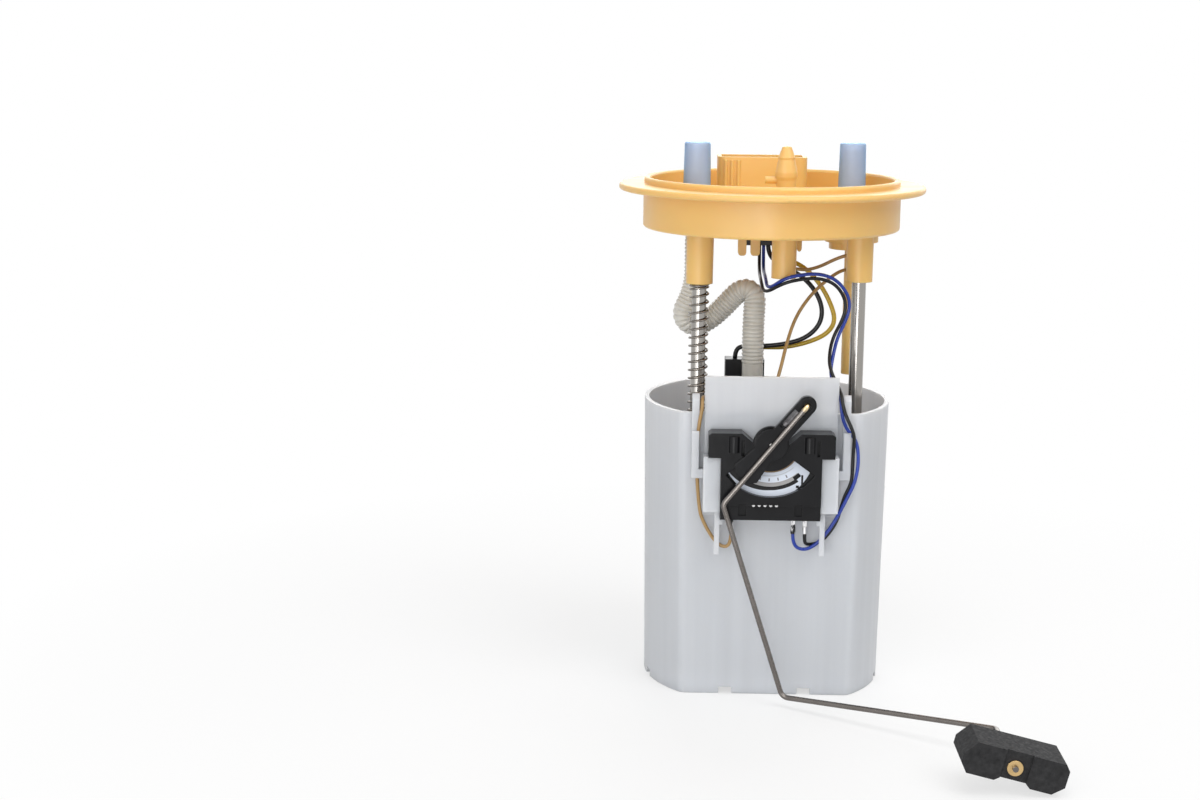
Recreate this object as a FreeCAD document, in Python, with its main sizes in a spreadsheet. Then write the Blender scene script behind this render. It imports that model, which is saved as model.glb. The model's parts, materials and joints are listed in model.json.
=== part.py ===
import FreeCAD, Part
import math
import os
import re
import Sketcher
from FreeCAD import Placement, Rotation, Vector

# Fuel pump module: a white reservoir cup with a level sender on its flat front, a sprung amber
# flange above it on two guide rods, the pump inside, and the float arm in front.
# Millimetres. The origin is the centre of the cup's base, +Z is up and -Y is the sender's side.

doc = FreeCAD.newDocument("fuel_pump_module")
sheet = doc.addObject("Spreadsheet::Sheet", "Sizes")

SIZES = [
    # Reservoir cup
    ("cup_height", 131.8, "base to rim"),
    ("cup_base_radius", 55.3, "outside, at the base"),
    ("cup_rim_radius", 56.8, "outside, at the rim"),
    ("cup_wall", 2.0, "side wall"),
    ("cup_floor", 2.5, "floor thickness"),
    ("cup_foot", 4.0, "height of the skirt below the floor"),
    ("cup_front", 40.0, "axis to the flat front wall"),
    ("cup_corner", 5.0, "rounding between the flat and the round wall"),
    ("notch_width", 6.0, "fuel notch in the foot skirt"),
    ("notch_height", 3.0, "fuel notch in the foot skirt"),
    ("inlet_radius", 6.0, "inlet hole in the floor"),
    ("inlet_x", 24.0, "inlet hole"),
    ("inlet_y", -14.0, "inlet hole"),
    # Sender bracket on the cup's front
    ("plate_half", 29.9, "half width of the front plate"),
    ("plate_thick", 2.0, "front plate"),
    ("plate_rise", 16.6, "front plate above the cup's rim"),
    ("rib_inner", 32.2, "axis to the inner side of the wire rib"),
    ("rib_width", 3.3, "wire rib"),
    ("rib_rise", 8.8, "wire rib above the rim"),
    ("rib_depth", 2.5, "wire rib out from the cup"),
    ("bar_height", 4.1, "clip bar across the wire channel"),
    ("bar_bottom", 102.7, "underside of the clip bar"),
    ("cover_rise", 21.4, "cover of the wire channel, from the bar's underside up"),
    ("rail_depth", 8.0, "rail out from the plate"),
    ("rail_outer", 30.2, "axis to the outer side of the rail"),
    ("rail_length", 25.3, "rail, top to bottom"),
    ("rail_wall", 1.8, "wall of the hollow rail"),
    ("tongue_width", 2.3, "snap tongue below the rail"),
    ("tongue_length", 20.0, "snap tongue below the rail"),
    ("tongue_thick", 2.0, "snap tongue"),
    # Sender
    ("sender_half", 22.4, "half width of the sender's body"),
    ("ear_half", 28.2, "half width across the sender's ears"),
    ("sender_drop", 35.3, "sender's underside below the pivot"),
    ("ear_drop", 6.8, "underside of the ears below the pivot"),
    ("sender_rise", 4.4, "sender's top above the pivot"),
    ("column_radius", 2.4, "half-round column on each ear"),
    ("ledge_height", 6.4, "set-back edge along the sender's underside"),
    ("sender_depth", 10.0, "back to front"),
    ("hub_x", -0.5, "arm pivot"),
    ("hub_height", 120.2, "arm pivot"),
    ("hub_radius", 8.0, "raised ring round the pivot"),
    ("hub_plate", 12.5, "plate between the pivot and the window"),
    ("window_radius", 24.5, "outer edge of the arc window"),
    ("window_sweep", 108.0, "angle of the arc window"),
    ("face_wall", 2.8, "front wall of the sender"),
    ("card_width", 38.0, "resistor card"),
    ("card_height", 25.0, "resistor card"),
    ("card_thick", 0.8, "resistor card"),
    ("track_radius", 20.5, "outer edge of the wide resistor track"),
    ("track_width", 1.9, "wide resistor track"),
    ("contact_radius", 15.5, "outer edge of the thin contact track"),
    ("contact_width", 0.4, "thin contact track"),
    ("pin_radius", 1.25, "pivot pin"),
    ("running_gap", 0.05, "radial clearance of every turning or sliding fit"),
    # Float arm
    ("lever_angle", 40.2, "lever, clockwise from straight up"),
    ("lever_length", 23.8, "pivot to the end of the wire"),
    ("lever_half", 4.1, "half width of the lever"),
    ("lever_thick", 2.8, "lever"),
    ("lever_gap", 0.6, "lever in front of the sender"),
    ("tail_length", 20.0, "wiper tail below the pivot"),
    ("wire_radius", 1.2, "arm wire"),
    ("bend_one_x", -21.4, "first bend of the arm wire"),
    ("bend_one_z", 93.4, "first bend of the arm wire"),
    ("bend_two_x", 7.2, "second bend of the arm wire"),
    ("bend_two_z", 4.3, "second bend of the arm wire"),
    ("float_x", 93.5, "float, and the wire's last bend"),
    ("float_z", 12.0, "float, and the wire's last bend"),
    ("bend_three_y", -114.0, "last bend of the arm wire"),
    ("float_front", -160.0, "front face of the float"),
    ("float_length", 43.0, "float"),
    ("float_height", 13.6, "float"),
    ("float_depth", 22.0, "float"),
    ("float_tilt", 14.0, "float, clockwise on its wire"),
    # Flange
    ("lip_radius", 70.0, "sealing lip"),
    ("lip_bottom", 228.3, "height of the lip's underside"),
    ("lip_thick", 3.0, "sealing lip"),
    ("skirt_radius", 58.8, "skirt that enters the tank"),
    ("skirt_wall", 2.5, "skirt"),
    ("skirt_drop", 17.1, "skirt's lower edge below the lip"),
    ("ring_rise", 2.9, "upstand above the lip"),
    ("ring_wall", 2.6, "upstand"),
    ("deck_drop", 6.3, "deck's underside below the lip's"),
    ("deck_thick", 3.0, "deck"),
    ("edge_round", 1.2, "rounding of the flange's edges"),
    ("left_x", -32.8, "left guide rod"),
    ("left_y", -18.0, "left guide rod"),
    ("right_x", 41.0, "right guide rod"),
    ("right_y", -4.0, "right guide rod"),
    ("boss_radius", 6.05, "rod boss"),
    ("boss_length", 34.8, "rod boss below the deck"),
    ("stub_x", 5.5, "centre stub and the barbed nipple above it"),
    ("stub_y", -15.0, "centre stub and the barbed nipple above it"),
    ("stub_radius", 5.6, "centre stub"),
    ("stub_length", 32.3, "centre stub below the deck"),
    ("nipple_radius", 4.0, "fuel nipple"),
    ("nipple_rise", 21.0, "fuel nipple above the deck"),
    ("nipple_bore", 2.2, "fuel nipple"),
    ("feed_x", -34.2, "feed nipple"),
    ("feed_y", 5.0, "feed nipple"),
    ("feed_drop", 16.0, "feed nipple's lower end below the deck"),
    ("return_x", 37.6, "return nipple"),
    ("return_y", 10.0, "return nipple"),
    ("pipe_x", 40.7, "return pipe"),
    ("pipe_y", 20.0, "return pipe"),
    ("pipe_radius", 4.4, "return pipe"),
    ("pipe_drop", 82.0, "return pipe's lower end below the deck"),
    ("chamber_radius", 12.5, "return chamber under the deck"),
    ("chamber_drop", 22.1, "return chamber's underside below the deck"),
    ("finger_drop", 26.2, "long fingers in front of the plug, below the deck"),
    ("shroud_left", -24.2, "connector shroud"),
    ("shroud_right", 17.6, "connector shroud"),
    ("shroud_front", 18.0, "connector shroud"),
    ("shroud_depth", 20.0, "connector shroud"),
    ("shroud_rise", 17.0, "connector shroud above the deck"),
    ("shroud_wall", 1.8, "connector shroud"),
    ("plug_width", 16.2, "inner plug"),
    ("plug_depth", 14.0, "inner plug"),
    ("plug_drop", 21.6, "inner plug's underside below the deck"),
    ("plug_height", 13.6, "inner plug"),
    ("blade_pitch", 2.9, "contact blades"),
    ("blade_width", 1.6, "contact blades"),
    ("blade_thick", 0.8, "contact blades"),
    ("blade_rise", 9.0, "contact blades' tips above the deck"),
    ("cap_radius", 6.4, "transit cap, at its open end"),
    ("cap_rise", 3.6, "transit cap above its nipple"),
    # Guide rods, spring and pump holder
    ("rod_radius", 3.25, "guide rod"),
    ("rod_bottom", 62.0, "height of the rods' lower ends"),
    ("rod_grip", 22.0, "length of the rod inside its boss"),
    ("sleeve_radius", 6.0, "guide sleeve"),
    ("sleeve_top", 113.0, "height of the guide sleeves' upper ends"),
    ("sleeve_length", 43.0, "guide sleeve"),
    ("bush_radius", 4.6, "guide bush"),
    ("bush_length", 6.0, "guide bush inside its sleeve"),
    ("bush_head", 1.5, "guide bush above its sleeve"),
    ("clip_radius", 5.4, "circlip on the rod"),
    ("clip_thick", 1.0, "circlip on the rod"),
    ("stop_gap", 0.3, "circlip below the sleeve"),
    ("spring_radius", 4.1, "centre of the spring's wire"),
    ("spring_wire", 1.0, "spring wire across"),
    ("spring_turns", 21, "turns of the spring"),
    ("pump_x", -10.0, "pump axis"),
    ("pump_y", 9.0, "pump axis"),
    ("can_radius", 19.0, "pump can"),
    ("can_wall", 1.0, "pump can"),
    ("can_bottom", 30.0, "height of the pump can's lower end"),
    ("can_top", 112.0, "height of the pump can's upper end"),
    ("damper_thick", 1.8, "rubber damper round the can"),
    ("holder_wall", 2.0, "wall of the pump holder"),
    ("holder_bottom", 44.0, "height of the holder ring's lower end"),
    ("holder_top", 106.0, "height of the holder ring's upper end"),
    ("web_thick", 3.0, "webs and legs of the holder"),
    ("cover_bottom", 20.0, "height of the inlet cover's underside"),
    ("head_rise", 24.0, "pump head's shoulder above the can"),
    ("block_rise", 11.5, "contact block above the shoulder"),
    ("outlet_x", -6.7, "pump outlet nipple"),
    ("outlet_y", 3.0, "pump outlet nipple"),
    ("outlet_rise", 10.0, "outlet nipple above the shoulder"),
    ("shaft_radius", 1.6, "rotor shaft"),
    ("armature_radius", 13.6, "armature"),
    ("magnet_thick", 3.4, "magnets"),
    ("commutator_radius", 6.5, "commutator"),
    ("impeller_radius", 15.5, "impeller"),
    ("impeller_thick", 4.0, "impeller"),
    # Hose and wires
    ("hose_radius", 5.1, "corrugated hose, outside"),
    ("hose_bore", 4.0, "corrugated hose, inside"),
    ("lead_radius", 0.8, "thin wire"),
    ("pump_lead_radius", 1.1, "pump wire"),
]

# Heights that follow from the sizes above
HEIGHTS = {
    "sender_top": "hub_height + sender_rise",
    "ear_bottom": "hub_height - ear_drop",
    "sender_bottom": "hub_height - sender_drop",
    "skirt_bottom": "lip_bottom - skirt_drop",
    "deck_bottom": "lip_bottom - deck_drop",
    "deck_top": "lip_bottom - deck_drop + deck_thick",
    "boss_bottom": "deck_bottom - boss_length",
    "stub_bottom": "deck_bottom - stub_length",
    "feed_end": "deck_bottom - feed_drop",
    "pipe_end": "deck_bottom - pipe_drop",
    "chamber_bottom": "deck_bottom - chamber_drop",
    "finger_bottom": "deck_bottom - finger_drop",
    "plug_bottom": "deck_bottom - plug_drop",
    "nipple_top": "deck_top + nipple_rise",
    "cap_top": "nipple_top + cap_rise",
    "shroud_top": "deck_top + shroud_rise",
    "blade_top": "deck_top + blade_rise",
    "head_top": "can_top + head_rise",
    "block_top": "head_top + block_rise",
    "outlet_top": "head_top + outlet_rise",
}
SIZES += [(alias, "=" + formula, "follows from the others") for alias, formula in HEIGHTS.items()]

for row, (alias, size, note) in enumerate(SIZES, start=1):
    sheet.set(f"A{row}", alias)
    sheet.set(f"B{row}", str(size))
    sheet.set(f"C{row}", note)
    sheet.setAlias(f"B{row}", alias)
doc.recompute()
ALIASES = {alias for alias, size, note in SIZES}

# Heights and places that several pieces share, worked out from the sheet
SENDER_BACK = "(cup_front + plate_thick)"
SENDER_FACE = f"({SENDER_BACK} + sender_depth)"
LEVER_BACK = f"({SENDER_FACE} + lever_gap)"
LEVER_FACE = f"({LEVER_BACK} + lever_thick)"
WIRE_PLANE = f"({LEVER_FACE} + wire_radius)"
CARD_FACE = f"({SENDER_FACE} - face_wall)"
PLATE_TOP = "(cup_height + plate_rise)"
FLOOR_TOP = "(cup_foot + cup_floor)"
LIP_TOP = "(lip_bottom + lip_thick)"
RING_TOP = f"({LIP_TOP} + ring_rise)"
SHROUD_MIDDLE = "((shroud_left + shroud_right) / 2)"
BLADE_Y = "(shroud_front + shroud_depth / 2)"
PLUG_FRONT = f"({BLADE_Y} - plug_depth / 2)"
SLEEVE_BOTTOM = "(sleeve_top - sleeve_length)"
BUSH_TOP = "(sleeve_top + bush_head)"
HOLDER_BORE = "(can_radius + damper_thick)"
HOLDER_RADIUS = f"({HOLDER_BORE} + holder_wall)"
CAP_BOTTOM = f"(deck_top + running_gap * 4)"
RODS = {"left": ("left_x", "left_y"), "right": ("right_x", "right_y")}
SIDES = {"left": -1, "right": 1}


def linked(expression):
    """Write an expression of the sheet's aliases as one that any object can hold."""
    return re.sub(r"[a-z]\w*", lambda m: "Sizes." + m[0] if m[0] in ALIASES else m[0], str(expression))


def value(expression):
    return float(sheet.evalExpression(str(expression)))


def bind(item, **sizes):
    for name, expression in sizes.items():
        item.setExpression(name, linked(expression))
    return item


def place(item, x=0, y=0, z=0, axis=None, angle=0):
    """Turn an object about an axis and tie its place to the sheet."""
    if axis:
        item.Placement = Placement(Vector(), Rotation(Vector(*axis), value(angle)))
        item.setExpression("Placement.Rotation.Angle", linked(angle)) if value(angle) > 0 else None
    for letter, expression in zip("xyz", (x, y, z)):
        item.setExpression(f"Placement.Base.{letter}", linked(expression))
    return item


TURNS = {"up": (None, 0), "forward": ((1, 0, 0), 90), "right": ((0, 1, 0), 90)}


def cylinder(name, radius, height, x=0, y=0, z=0, along="up", sweep=360):
    item = doc.addObject("Part::Cylinder", name)
    bind(item, Radius=radius, Height=height, Angle=sweep)
    return place(item, x, y, z, *TURNS[along])


def cone(name, lower, upper, height, x=0, y=0, z=0):
    item = doc.addObject("Part::Cone", name)
    bind(item, Radius1=lower, Radius2=upper, Height=height)
    return place(item, x, y, z)


def block(name, x, y, z):
    """A box between two expressions along each axis."""
    item = doc.addObject("Part::Box", name)
    low, high = zip(x, y, z)
    lengths = [f"({b}) - ({a})" for a, b in zip(low, high)]
    bind(item, Length=lengths[0], Width=lengths[1], Height=lengths[2])
    return place(item, *low)


def combine(kind, name, items):
    item = doc.addObject(kind, name)
    item.Shapes = list(items)
    return item


def fuse(name, *items):
    return combine("Part::MultiFuse", name, items)


def common(name, *items):
    return combine("Part::MultiCommon", name, items)


def cut(name, base, *tools):
    item = doc.addObject("Part::Cut", name)
    item.Base = base
    item.Tool = tools[0] if len(tools) == 1 else fuse(name + "_tools", *tools)
    return item


def outline(body, plane, points):
    """A closed sketch of straight sides whose corners are tied to the sheet."""
    sketch = body.newObject("Sketcher::SketchObject", body.Name + "_outline")
    support = [part for part in body.Origin.OriginFeatures if part.Role == plane + "_Plane"][0]
    sketch.AttachmentSupport = (support, [""])
    sketch.MapMode = "FlatFace"
    corners = [Vector(value(x), value(y), 0) for x, y in points]
    count = len(corners)
    rules = []
    ties = {}
    for index, corner in enumerate(corners):
        sketch.addGeometry(Part.LineSegment(corner, corners[(index + 1) % count]))
        rules.append(Sketcher.Constraint("Coincident", index, 2, (index + 1) % count, 1))
    for index, corner in enumerate(corners):
        for kind, size, expression, axis in (("DistanceX", corner.x, points[index][0], -2),
                                             ("DistanceY", corner.y, points[index][1], -1)):
            if str(expression) == "0":
                rules.append(Sketcher.Constraint("PointOnObject", index, 1, axis))
            else:
                ties[len(rules)] = expression
                rules.append(Sketcher.Constraint(kind, -1, 1, index, 1, size))
    sketch.addConstraint(rules)
    for index, expression in ties.items():
        sketch.setExpression(f"Constraints[{index}]", linked(expression))
    return sketch


def prism(name, plane, points, length, x=0, y=0, z=0, axis=None, angle=0):
    """A flat outline padded along its plane's normal: XY up, XZ towards -Y, YZ towards +X."""
    body = doc.addObject("PartDesign::Body", name)
    pad = body.newObject("PartDesign::Pad", name + "_pad")
    pad.Profile = outline(body, plane, points)
    bind(pad, Length=length)
    return place(body, x, y, z, axis, angle)


def revolved(name, points, x=0, y=0, z=0):
    """A profile of (radius, height) corners turned about a vertical axis."""
    body = doc.addObject("PartDesign::Body", name)
    turn = body.newObject("PartDesign::Revolution", name + "_turn")
    turn.Profile = outline(body, "XZ", points)
    turn.ReferenceAxis = (turn.Profile[0], ["V_Axis"])
    turn.Angle = 360
    return place(body, x, y, z)


def rounded(body, radius, wanted):
    """Round the edges of a body that the test picks."""
    doc.recompute()
    base = body.Tip
    names = [f"Edge{number}" for number, edge in enumerate(base.Shape.Edges, start=1) if wanted(edge)]
    fillet = body.newObject("PartDesign::Fillet", body.Name + "_round")
    fillet.Base = (base, names)
    bind(fillet, Radius=radius)
    return body


def plain(name, shape):
    """An object whose shape is worked out below from the sheet's sizes."""
    item = doc.addObject("Part::Feature", name)
    item.Shape = shape
    return item


nodes = []


def node(item, name):
    item.Label = name
    nodes.append(item)
    return item


def is_upright(edge):
    low, high = edge.Vertexes[0].Point, edge.Vertexes[-1].Point
    return abs(high.z - low.z) > 1 and math.hypot(high.x - low.x, high.y - low.y) < 4


def is_circle(edge, radius, height):
    curve = edge.Curve
    return (isinstance(curve, Part.Circle) and abs(curve.Radius - value(radius)) < 0.001
            and abs(curve.Center.z - value(height)) < 0.001)


def mirrored(side, near, far):
    """A span on the left or right of the middle, low end first."""
    return (f"-({far})", f"-({near})") if side < 0 else (near, far)


def front_corners(item, radius):
    """The two upright edges where the flat front meets the round wall, as a fillet takes them."""
    return [(number, radius, radius) for number, edge in enumerate(item.Shape.Edges, start=1)
            if is_upright(edge) and edge.CenterOfMass.y < -value("cup_front") / 2]


# Reservoir cup: a drafted round cup with a flat front, raised floor and a notched foot skirt
def reservoir_cup():
    front = ("-cup_rim_radius * 2", "-cup_front")
    across = ("-cup_rim_radius * 2", "cup_rim_radius * 2")
    tall = ("-1", "cup_height + 1")
    outside = cut("cup_outside",
                  cone("cup_cone", "cup_base_radius", "cup_rim_radius", "cup_height"),
                  block("cup_flat", across, front, tall))
    doc.recompute()
    shell = doc.addObject("Part::Fillet", "cup_shell")
    shell.Base = outside
    shell.Edges = front_corners(outside, value("cup_corner"))
    inner_front = (front[0], "cup_wall - cup_front")
    cavity = cut("cup_cavity",
                 cone("cup_cavity_cone", "cup_base_radius - cup_wall", "cup_rim_radius - cup_wall",
                      f"cup_height - {FLOOR_TOP}", z=FLOOR_TOP),
                 block("cup_cavity_flat", across, inner_front, tall))
    recess = cut("cup_recess",
                 cylinder("cup_recess_round", "cup_base_radius - cup_wall", "cup_foot"),
                 block("cup_recess_flat", across, inner_front, tall))
    doc.recompute()
    hollow = doc.addObject("Part::Fillet", "cup_hollow")
    hollow.Base = cavity
    hollow.Edges = front_corners(cavity, value("cup_corner") - value("cup_wall"))
    openings = [hollow, recess, cylinder("cup_inlet", "inlet_radius", "cup_floor * 3",
                                         "inlet_x", "inlet_y", "cup_foot - cup_floor")]
    for number, angle in enumerate(range(-15, 196, 30)):
        notch = block(f"cup_notch_{number}", ("cup_base_radius - cup_wall * 3", "cup_base_radius * 1.2"),
                      ("-notch_width / 2", "notch_width / 2"), ("-1", "notch_height"))
        turned = doc.addObject("Part::Compound", f"cup_notch_turned_{number}")
        turned.Links = [notch]
        openings.append(place(turned, axis=(0, 0, 1), angle=angle % 360))
    for number, spot in enumerate(("-notch_width * 3.5", "notch_width * 2.5")):
        openings.append(block(f"cup_front_notch_{number}", (spot, f"{spot} + notch_width"),
                              ("-cup_front - 1", "cup_wall * 2 - cup_front"), ("-1", "notch_height")))
    node(cut("cup", shell, *openings), "reservoir_cup")


# Inlet valve and screen in the hole of the floor
def inlet_valve():
    stem = "inlet_radius * 0.25"
    screen = [cylinder("screen_disc", "inlet_radius", "0.8", "inlet_x", "inlet_y", "cup_foot")]
    holes = [cylinder("screen_middle", f"{stem} + running_gap", "3", "inlet_x", "inlet_y", "cup_foot - 1")]
    for number in range(6):
        angle = number * 60
        holes.append(cylinder(f"screen_hole_{number}", "inlet_radius * 0.2", "3",
                              f"inlet_x + inlet_radius * 0.62 * cos({angle})",
                              f"inlet_y + inlet_radius * 0.62 * sin({angle})", "cup_foot - 1"))
    node(cut("screen", screen[0], *holes), "inlet_screen")
    rim = "(inlet_radius + 2)"
    node(revolved("umbrella", [("0", "cup_foot - 0.8"), (f"{stem} * 1.7", "cup_foot - 0.8"),
                               (f"{stem} * 1.7", "cup_foot"), (stem, "cup_foot"),
                               (stem, FLOOR_TOP), (rim, FLOOR_TOP), (rim, f"{FLOOR_TOP} + 0.8"),
                               (f"{stem} * 2", f"{FLOOR_TOP} + 2.2"), ("0", f"{FLOOR_TOP} + 2.4")],
                  "inlet_x", "inlet_y"), "inlet_valve")


# Sender bracket: a plate that hooks over the cup's rim, with wire ribs, rails and snap tongues
def sender_bracket():
    front = f"-{SENDER_BACK}"
    pieces = [
        block("plate", ("-plate_half", "plate_half"), (front, "-cup_front"), ("sender_bottom", PLATE_TOP)),
        block("plate_web", ("-rib_inner - rib_width", "rib_inner + rib_width"),
              ("-cup_front - plate_thick / 2", "-cup_front"), ("bar_bottom", "cup_height")),
        block("plate_hook", ("-plate_half * 0.66", "plate_half * 0.66"),
              ("-cup_front", "cup_wall * 2 - cup_front"), ("cup_height", "cup_height + cup_wall")),
        block("plate_lip", ("-plate_half * 0.66", "plate_half * 0.66"),
              ("cup_wall - cup_front", "cup_wall * 2 - cup_front"), ("cup_height - 5", "cup_height")),
    ]
    for name, side in SIDES.items():
        rib_x = mirrored(side, "rib_inner", "rib_inner + rib_width")
        rib = [("-cup_front - rib_depth", "bar_bottom"), ("-cup_front", "bar_bottom"),
               ("-cup_front", "cup_height + rib_rise * 0.75"),
               ("-cup_front - rib_depth * 0.4", "cup_height + rib_rise"),
               ("-cup_front - rib_depth", "cup_height + rib_rise * 0.7")]
        pieces.append(prism(f"rib_{name}", "YZ", rib, "rib_width", rib_x[0]))
        bar_y = ("-cup_front - rib_depth - 3.4", "-cup_front - rib_depth - 1.9")
        bar_z = ("bar_bottom", "bar_bottom + bar_height")
        pieces.append(block(f"bar_{name}", mirrored(side, "rail_outer", "rib_inner + rib_width"),
                            bar_y, bar_z))
        post_x = mirrored(side, "rib_inner + rib_width - 1.5", "rib_inner + rib_width")
        pieces.append(block(f"bar_post_{name}", post_x, (bar_y[0], "-cup_front - rib_depth"), bar_z))
        pieces.append(block(f"cover_{name}", mirrored(side, "rib_inner", "rib_inner + rib_width"), bar_y,
                            ("bar_bottom + bar_height - 1", "bar_bottom + cover_rise")))
        rail_z = ("ear_bottom - rail_length", "ear_bottom")
        rail_y = (f"{front} - rail_depth", front)
        rail = block(f"rail_{name}", mirrored(side, "sender_half + running_gap * 2", "rail_outer"),
                     rail_y, rail_z)
        hollow = block(f"rail_hollow_{name}",
                       mirrored(side, "sender_half + running_gap * 2 + rail_wall",
                                "rail_outer - rail_wall"),
                       (f"{front} - rail_depth + rail_wall", front),
                       ("ear_bottom - rail_length - 1", "ear_bottom - rail_wall"))
        pieces.append(cut(f"rail_shell_{name}", rail, hollow))
        tongue_x = mirrored(side, "sender_half + running_gap * 2",
                            "sender_half + running_gap * 2 + tongue_width")
        tongue_y = (f"{front} - rail_depth + rail_wall", f"{front} - rail_depth + rail_wall + tongue_thick")
        pieces.append(block(f"tongue_{name}", tongue_x, tongue_y,
                            ("ear_bottom - rail_length - tongue_length", "ear_bottom - rail_length + 1")))
        catch_x = mirrored(side, "sender_half - 1.2", "sender_half + running_gap * 2")
        pieces.append(block(f"catch_{name}", catch_x, tongue_y, ("sender_bottom - 3", "sender_bottom")))
    node(fuse("bracket", *pieces), "sender_bracket")


# Level sender: a black housing with a V-notched top, an arc window and half-round columns
def sender_housing():
    notch_low = "(hub_height - 0.4)"
    side = [("ear_half", "ear_bottom"), ("ear_half", "sender_top - 1"), ("ear_half - 1.4", "sender_top"),
            ("13.2", "sender_top"), ("7.6", notch_low)]
    shape = [("-sender_half", "sender_bottom"), ("sender_half", "sender_bottom"),
             ("sender_half", "ear_bottom")]
    shape += side + [(f"-({x})", z) for x, z in reversed(side)] + [("-sender_half", "ear_bottom")]
    body = prism("housing_body", "XZ", shape, "sender_depth", y=f"-{SENDER_BACK}")
    columns = []
    for name, sign in SIDES.items():
        spot = f"{sign} * sender_half * 0.75"
        columns.append(cylinder(f"column_{name}", "column_radius", "hub_height - ear_bottom + 0.5", spot,
                                f"0.6 - {SENDER_FACE}", "ear_bottom + 2.6"))
    hub = cylinder("housing_hub", "hub_radius", "lever_gap * 0.6 + 1", "hub_x", f"1 - {SENDER_FACE}",
                   "hub_height", "forward")
    ledge = block("housing_ledge", ("-sender_half", "sender_half"), (f"-{SENDER_FACE} - 1", f"1.2 - {SENDER_FACE}"),
                  ("sender_bottom - 1", "sender_bottom + ledge_height"))
    steps = [block(f"housing_step_{name}", (f"{sign} * 12.5 - 1.6", f"{sign} * 12.5 + 1.6"),
                   (f"-{SENDER_FACE} - 1", f"2.4 - {SENDER_FACE}"), ("sender_bottom + 2", "sender_bottom + ledge_height + 1"))
             for name, sign in SIDES.items()]
    window = cylinder("window_outer", "window_radius", "face_wall + 2", sweep="window_sweep")
    inner = cylinder("window_inner", "hub_plate", "face_wall + 4", z="-1")
    sector = cut("window_sector", window, inner)
    turned = doc.addObject("Part::Compound", "window_turned")
    turned.Links = [sector]
    place(turned, axis=(0, 0, 1), angle="270 - window_sweep / 2")
    facing = doc.addObject("Part::Compound", "window_facing")
    facing.Links = [turned]
    place(facing, "hub_x", f"0.5 - {CARD_FACE}", "hub_height", (1, 0, 0), 90)
    cavity = block("housing_cavity", ("-card_width / 2 - 0.1", "card_width / 2 + 0.1"),
                   (f"-{CARD_FACE}", f"1 - {SENDER_BACK}"),
                   ("ear_bottom - card_height - 0.1", "ear_bottom + 0.1"))
    slots = [block(f"housing_slot_{name}", (f"{sign} * sender_half * 0.75 + 3.4", f"{sign} * sender_half * 0.75 + 4.6"),
                   (f"-{SENDER_FACE} - 1", f"3 - {SENDER_FACE}"), ("ear_bottom + 1", "ear_bottom + 8"))
             for name, sign in SIDES.items()]
    pin_hole = cylinder("housing_pin_hole", "pin_radius", "8", "hub_x", f"5 - {SENDER_FACE}",
                        "hub_height", "forward")
    whole = fuse("housing_whole", body, hub, *columns)
    node(cut("housing", whole, ledge, facing, cavity, pin_hole, *steps, *slots), "sender_housing")


# Resistor card with its arc tracks, contact pads and solder terminals
def sender_card():
    card_x = ("-card_width / 2", "card_width / 2")
    card_z = ("ear_bottom - card_height", "ear_bottom")
    node(block("card", card_x, (f"-{CARD_FACE}", f"card_thick - {CARD_FACE}"), card_z), "resistor_card")
    tracks = []
    for number, (outer, wide) in enumerate((("track_radius", "track_width"), ("contact_radius", "contact_width"))):
        ring = cut(f"track_ring_{number}", cylinder(f"track_outer_{number}", outer, "0.12", sweep="86"),
                   cylinder(f"track_inner_{number}", f"{outer} - {wide}", "2", z="-1"))
        turned = doc.addObject("Part::Compound", f"track_turned_{number}")
        turned.Links = [ring]
        place(turned, axis=(0, 0, 1), angle=227)
        facing = doc.addObject("Part::Compound", f"track_facing_{number}")
        facing.Links = [turned]
        tracks.append(place(facing, "hub_x", f"-{CARD_FACE}", "hub_height", (1, 0, 0), 90))
    tracks_group = doc.addObject("Part::Compound", "tracks")
    tracks_group.Links = tracks
    node(tracks_group, "resistor_tracks")
    pads = [cylinder(f"pad_{number}", "0.7", "0.25", f"{number} * 2.55 - 7.6", f"-{SENDER_FACE}",
                     "sender_bottom + ledge_height + 0.8", "forward") for number in range(5)]
    pad_group = doc.addObject("Part::Compound", "pads")
    pad_group.Links = pads
    node(pad_group, "sender_test_pads")
    terminals = []
    for number, spot in enumerate(("-17.1", "10.7", "16")):
        strip = block(f"terminal_strip_{number}", (f"{spot} - 0.9", f"{spot} + 0.9"), ("-46.3", "-45.7"),
                      ("sender_bottom - 4", "sender_bottom"))
        barrel = cylinder(f"terminal_barrel_{number}", "1.1", "3.2", spot, "-46", "sender_bottom - 7")
        terminals.append(fuse(f"terminal_{number}", strip, barrel))
    terminal_group = doc.addObject("Part::Compound", "terminals")
    terminal_group.Links = terminals
    node(terminal_group, "sender_terminals")
    node(cylinder("pin", "pin_radius", "8 - 3 + lever_gap + lever_thick - 0.3", "hub_x", f"5 - {SENDER_FACE}",
                  "hub_height", "forward"), "pivot_pin")


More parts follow.
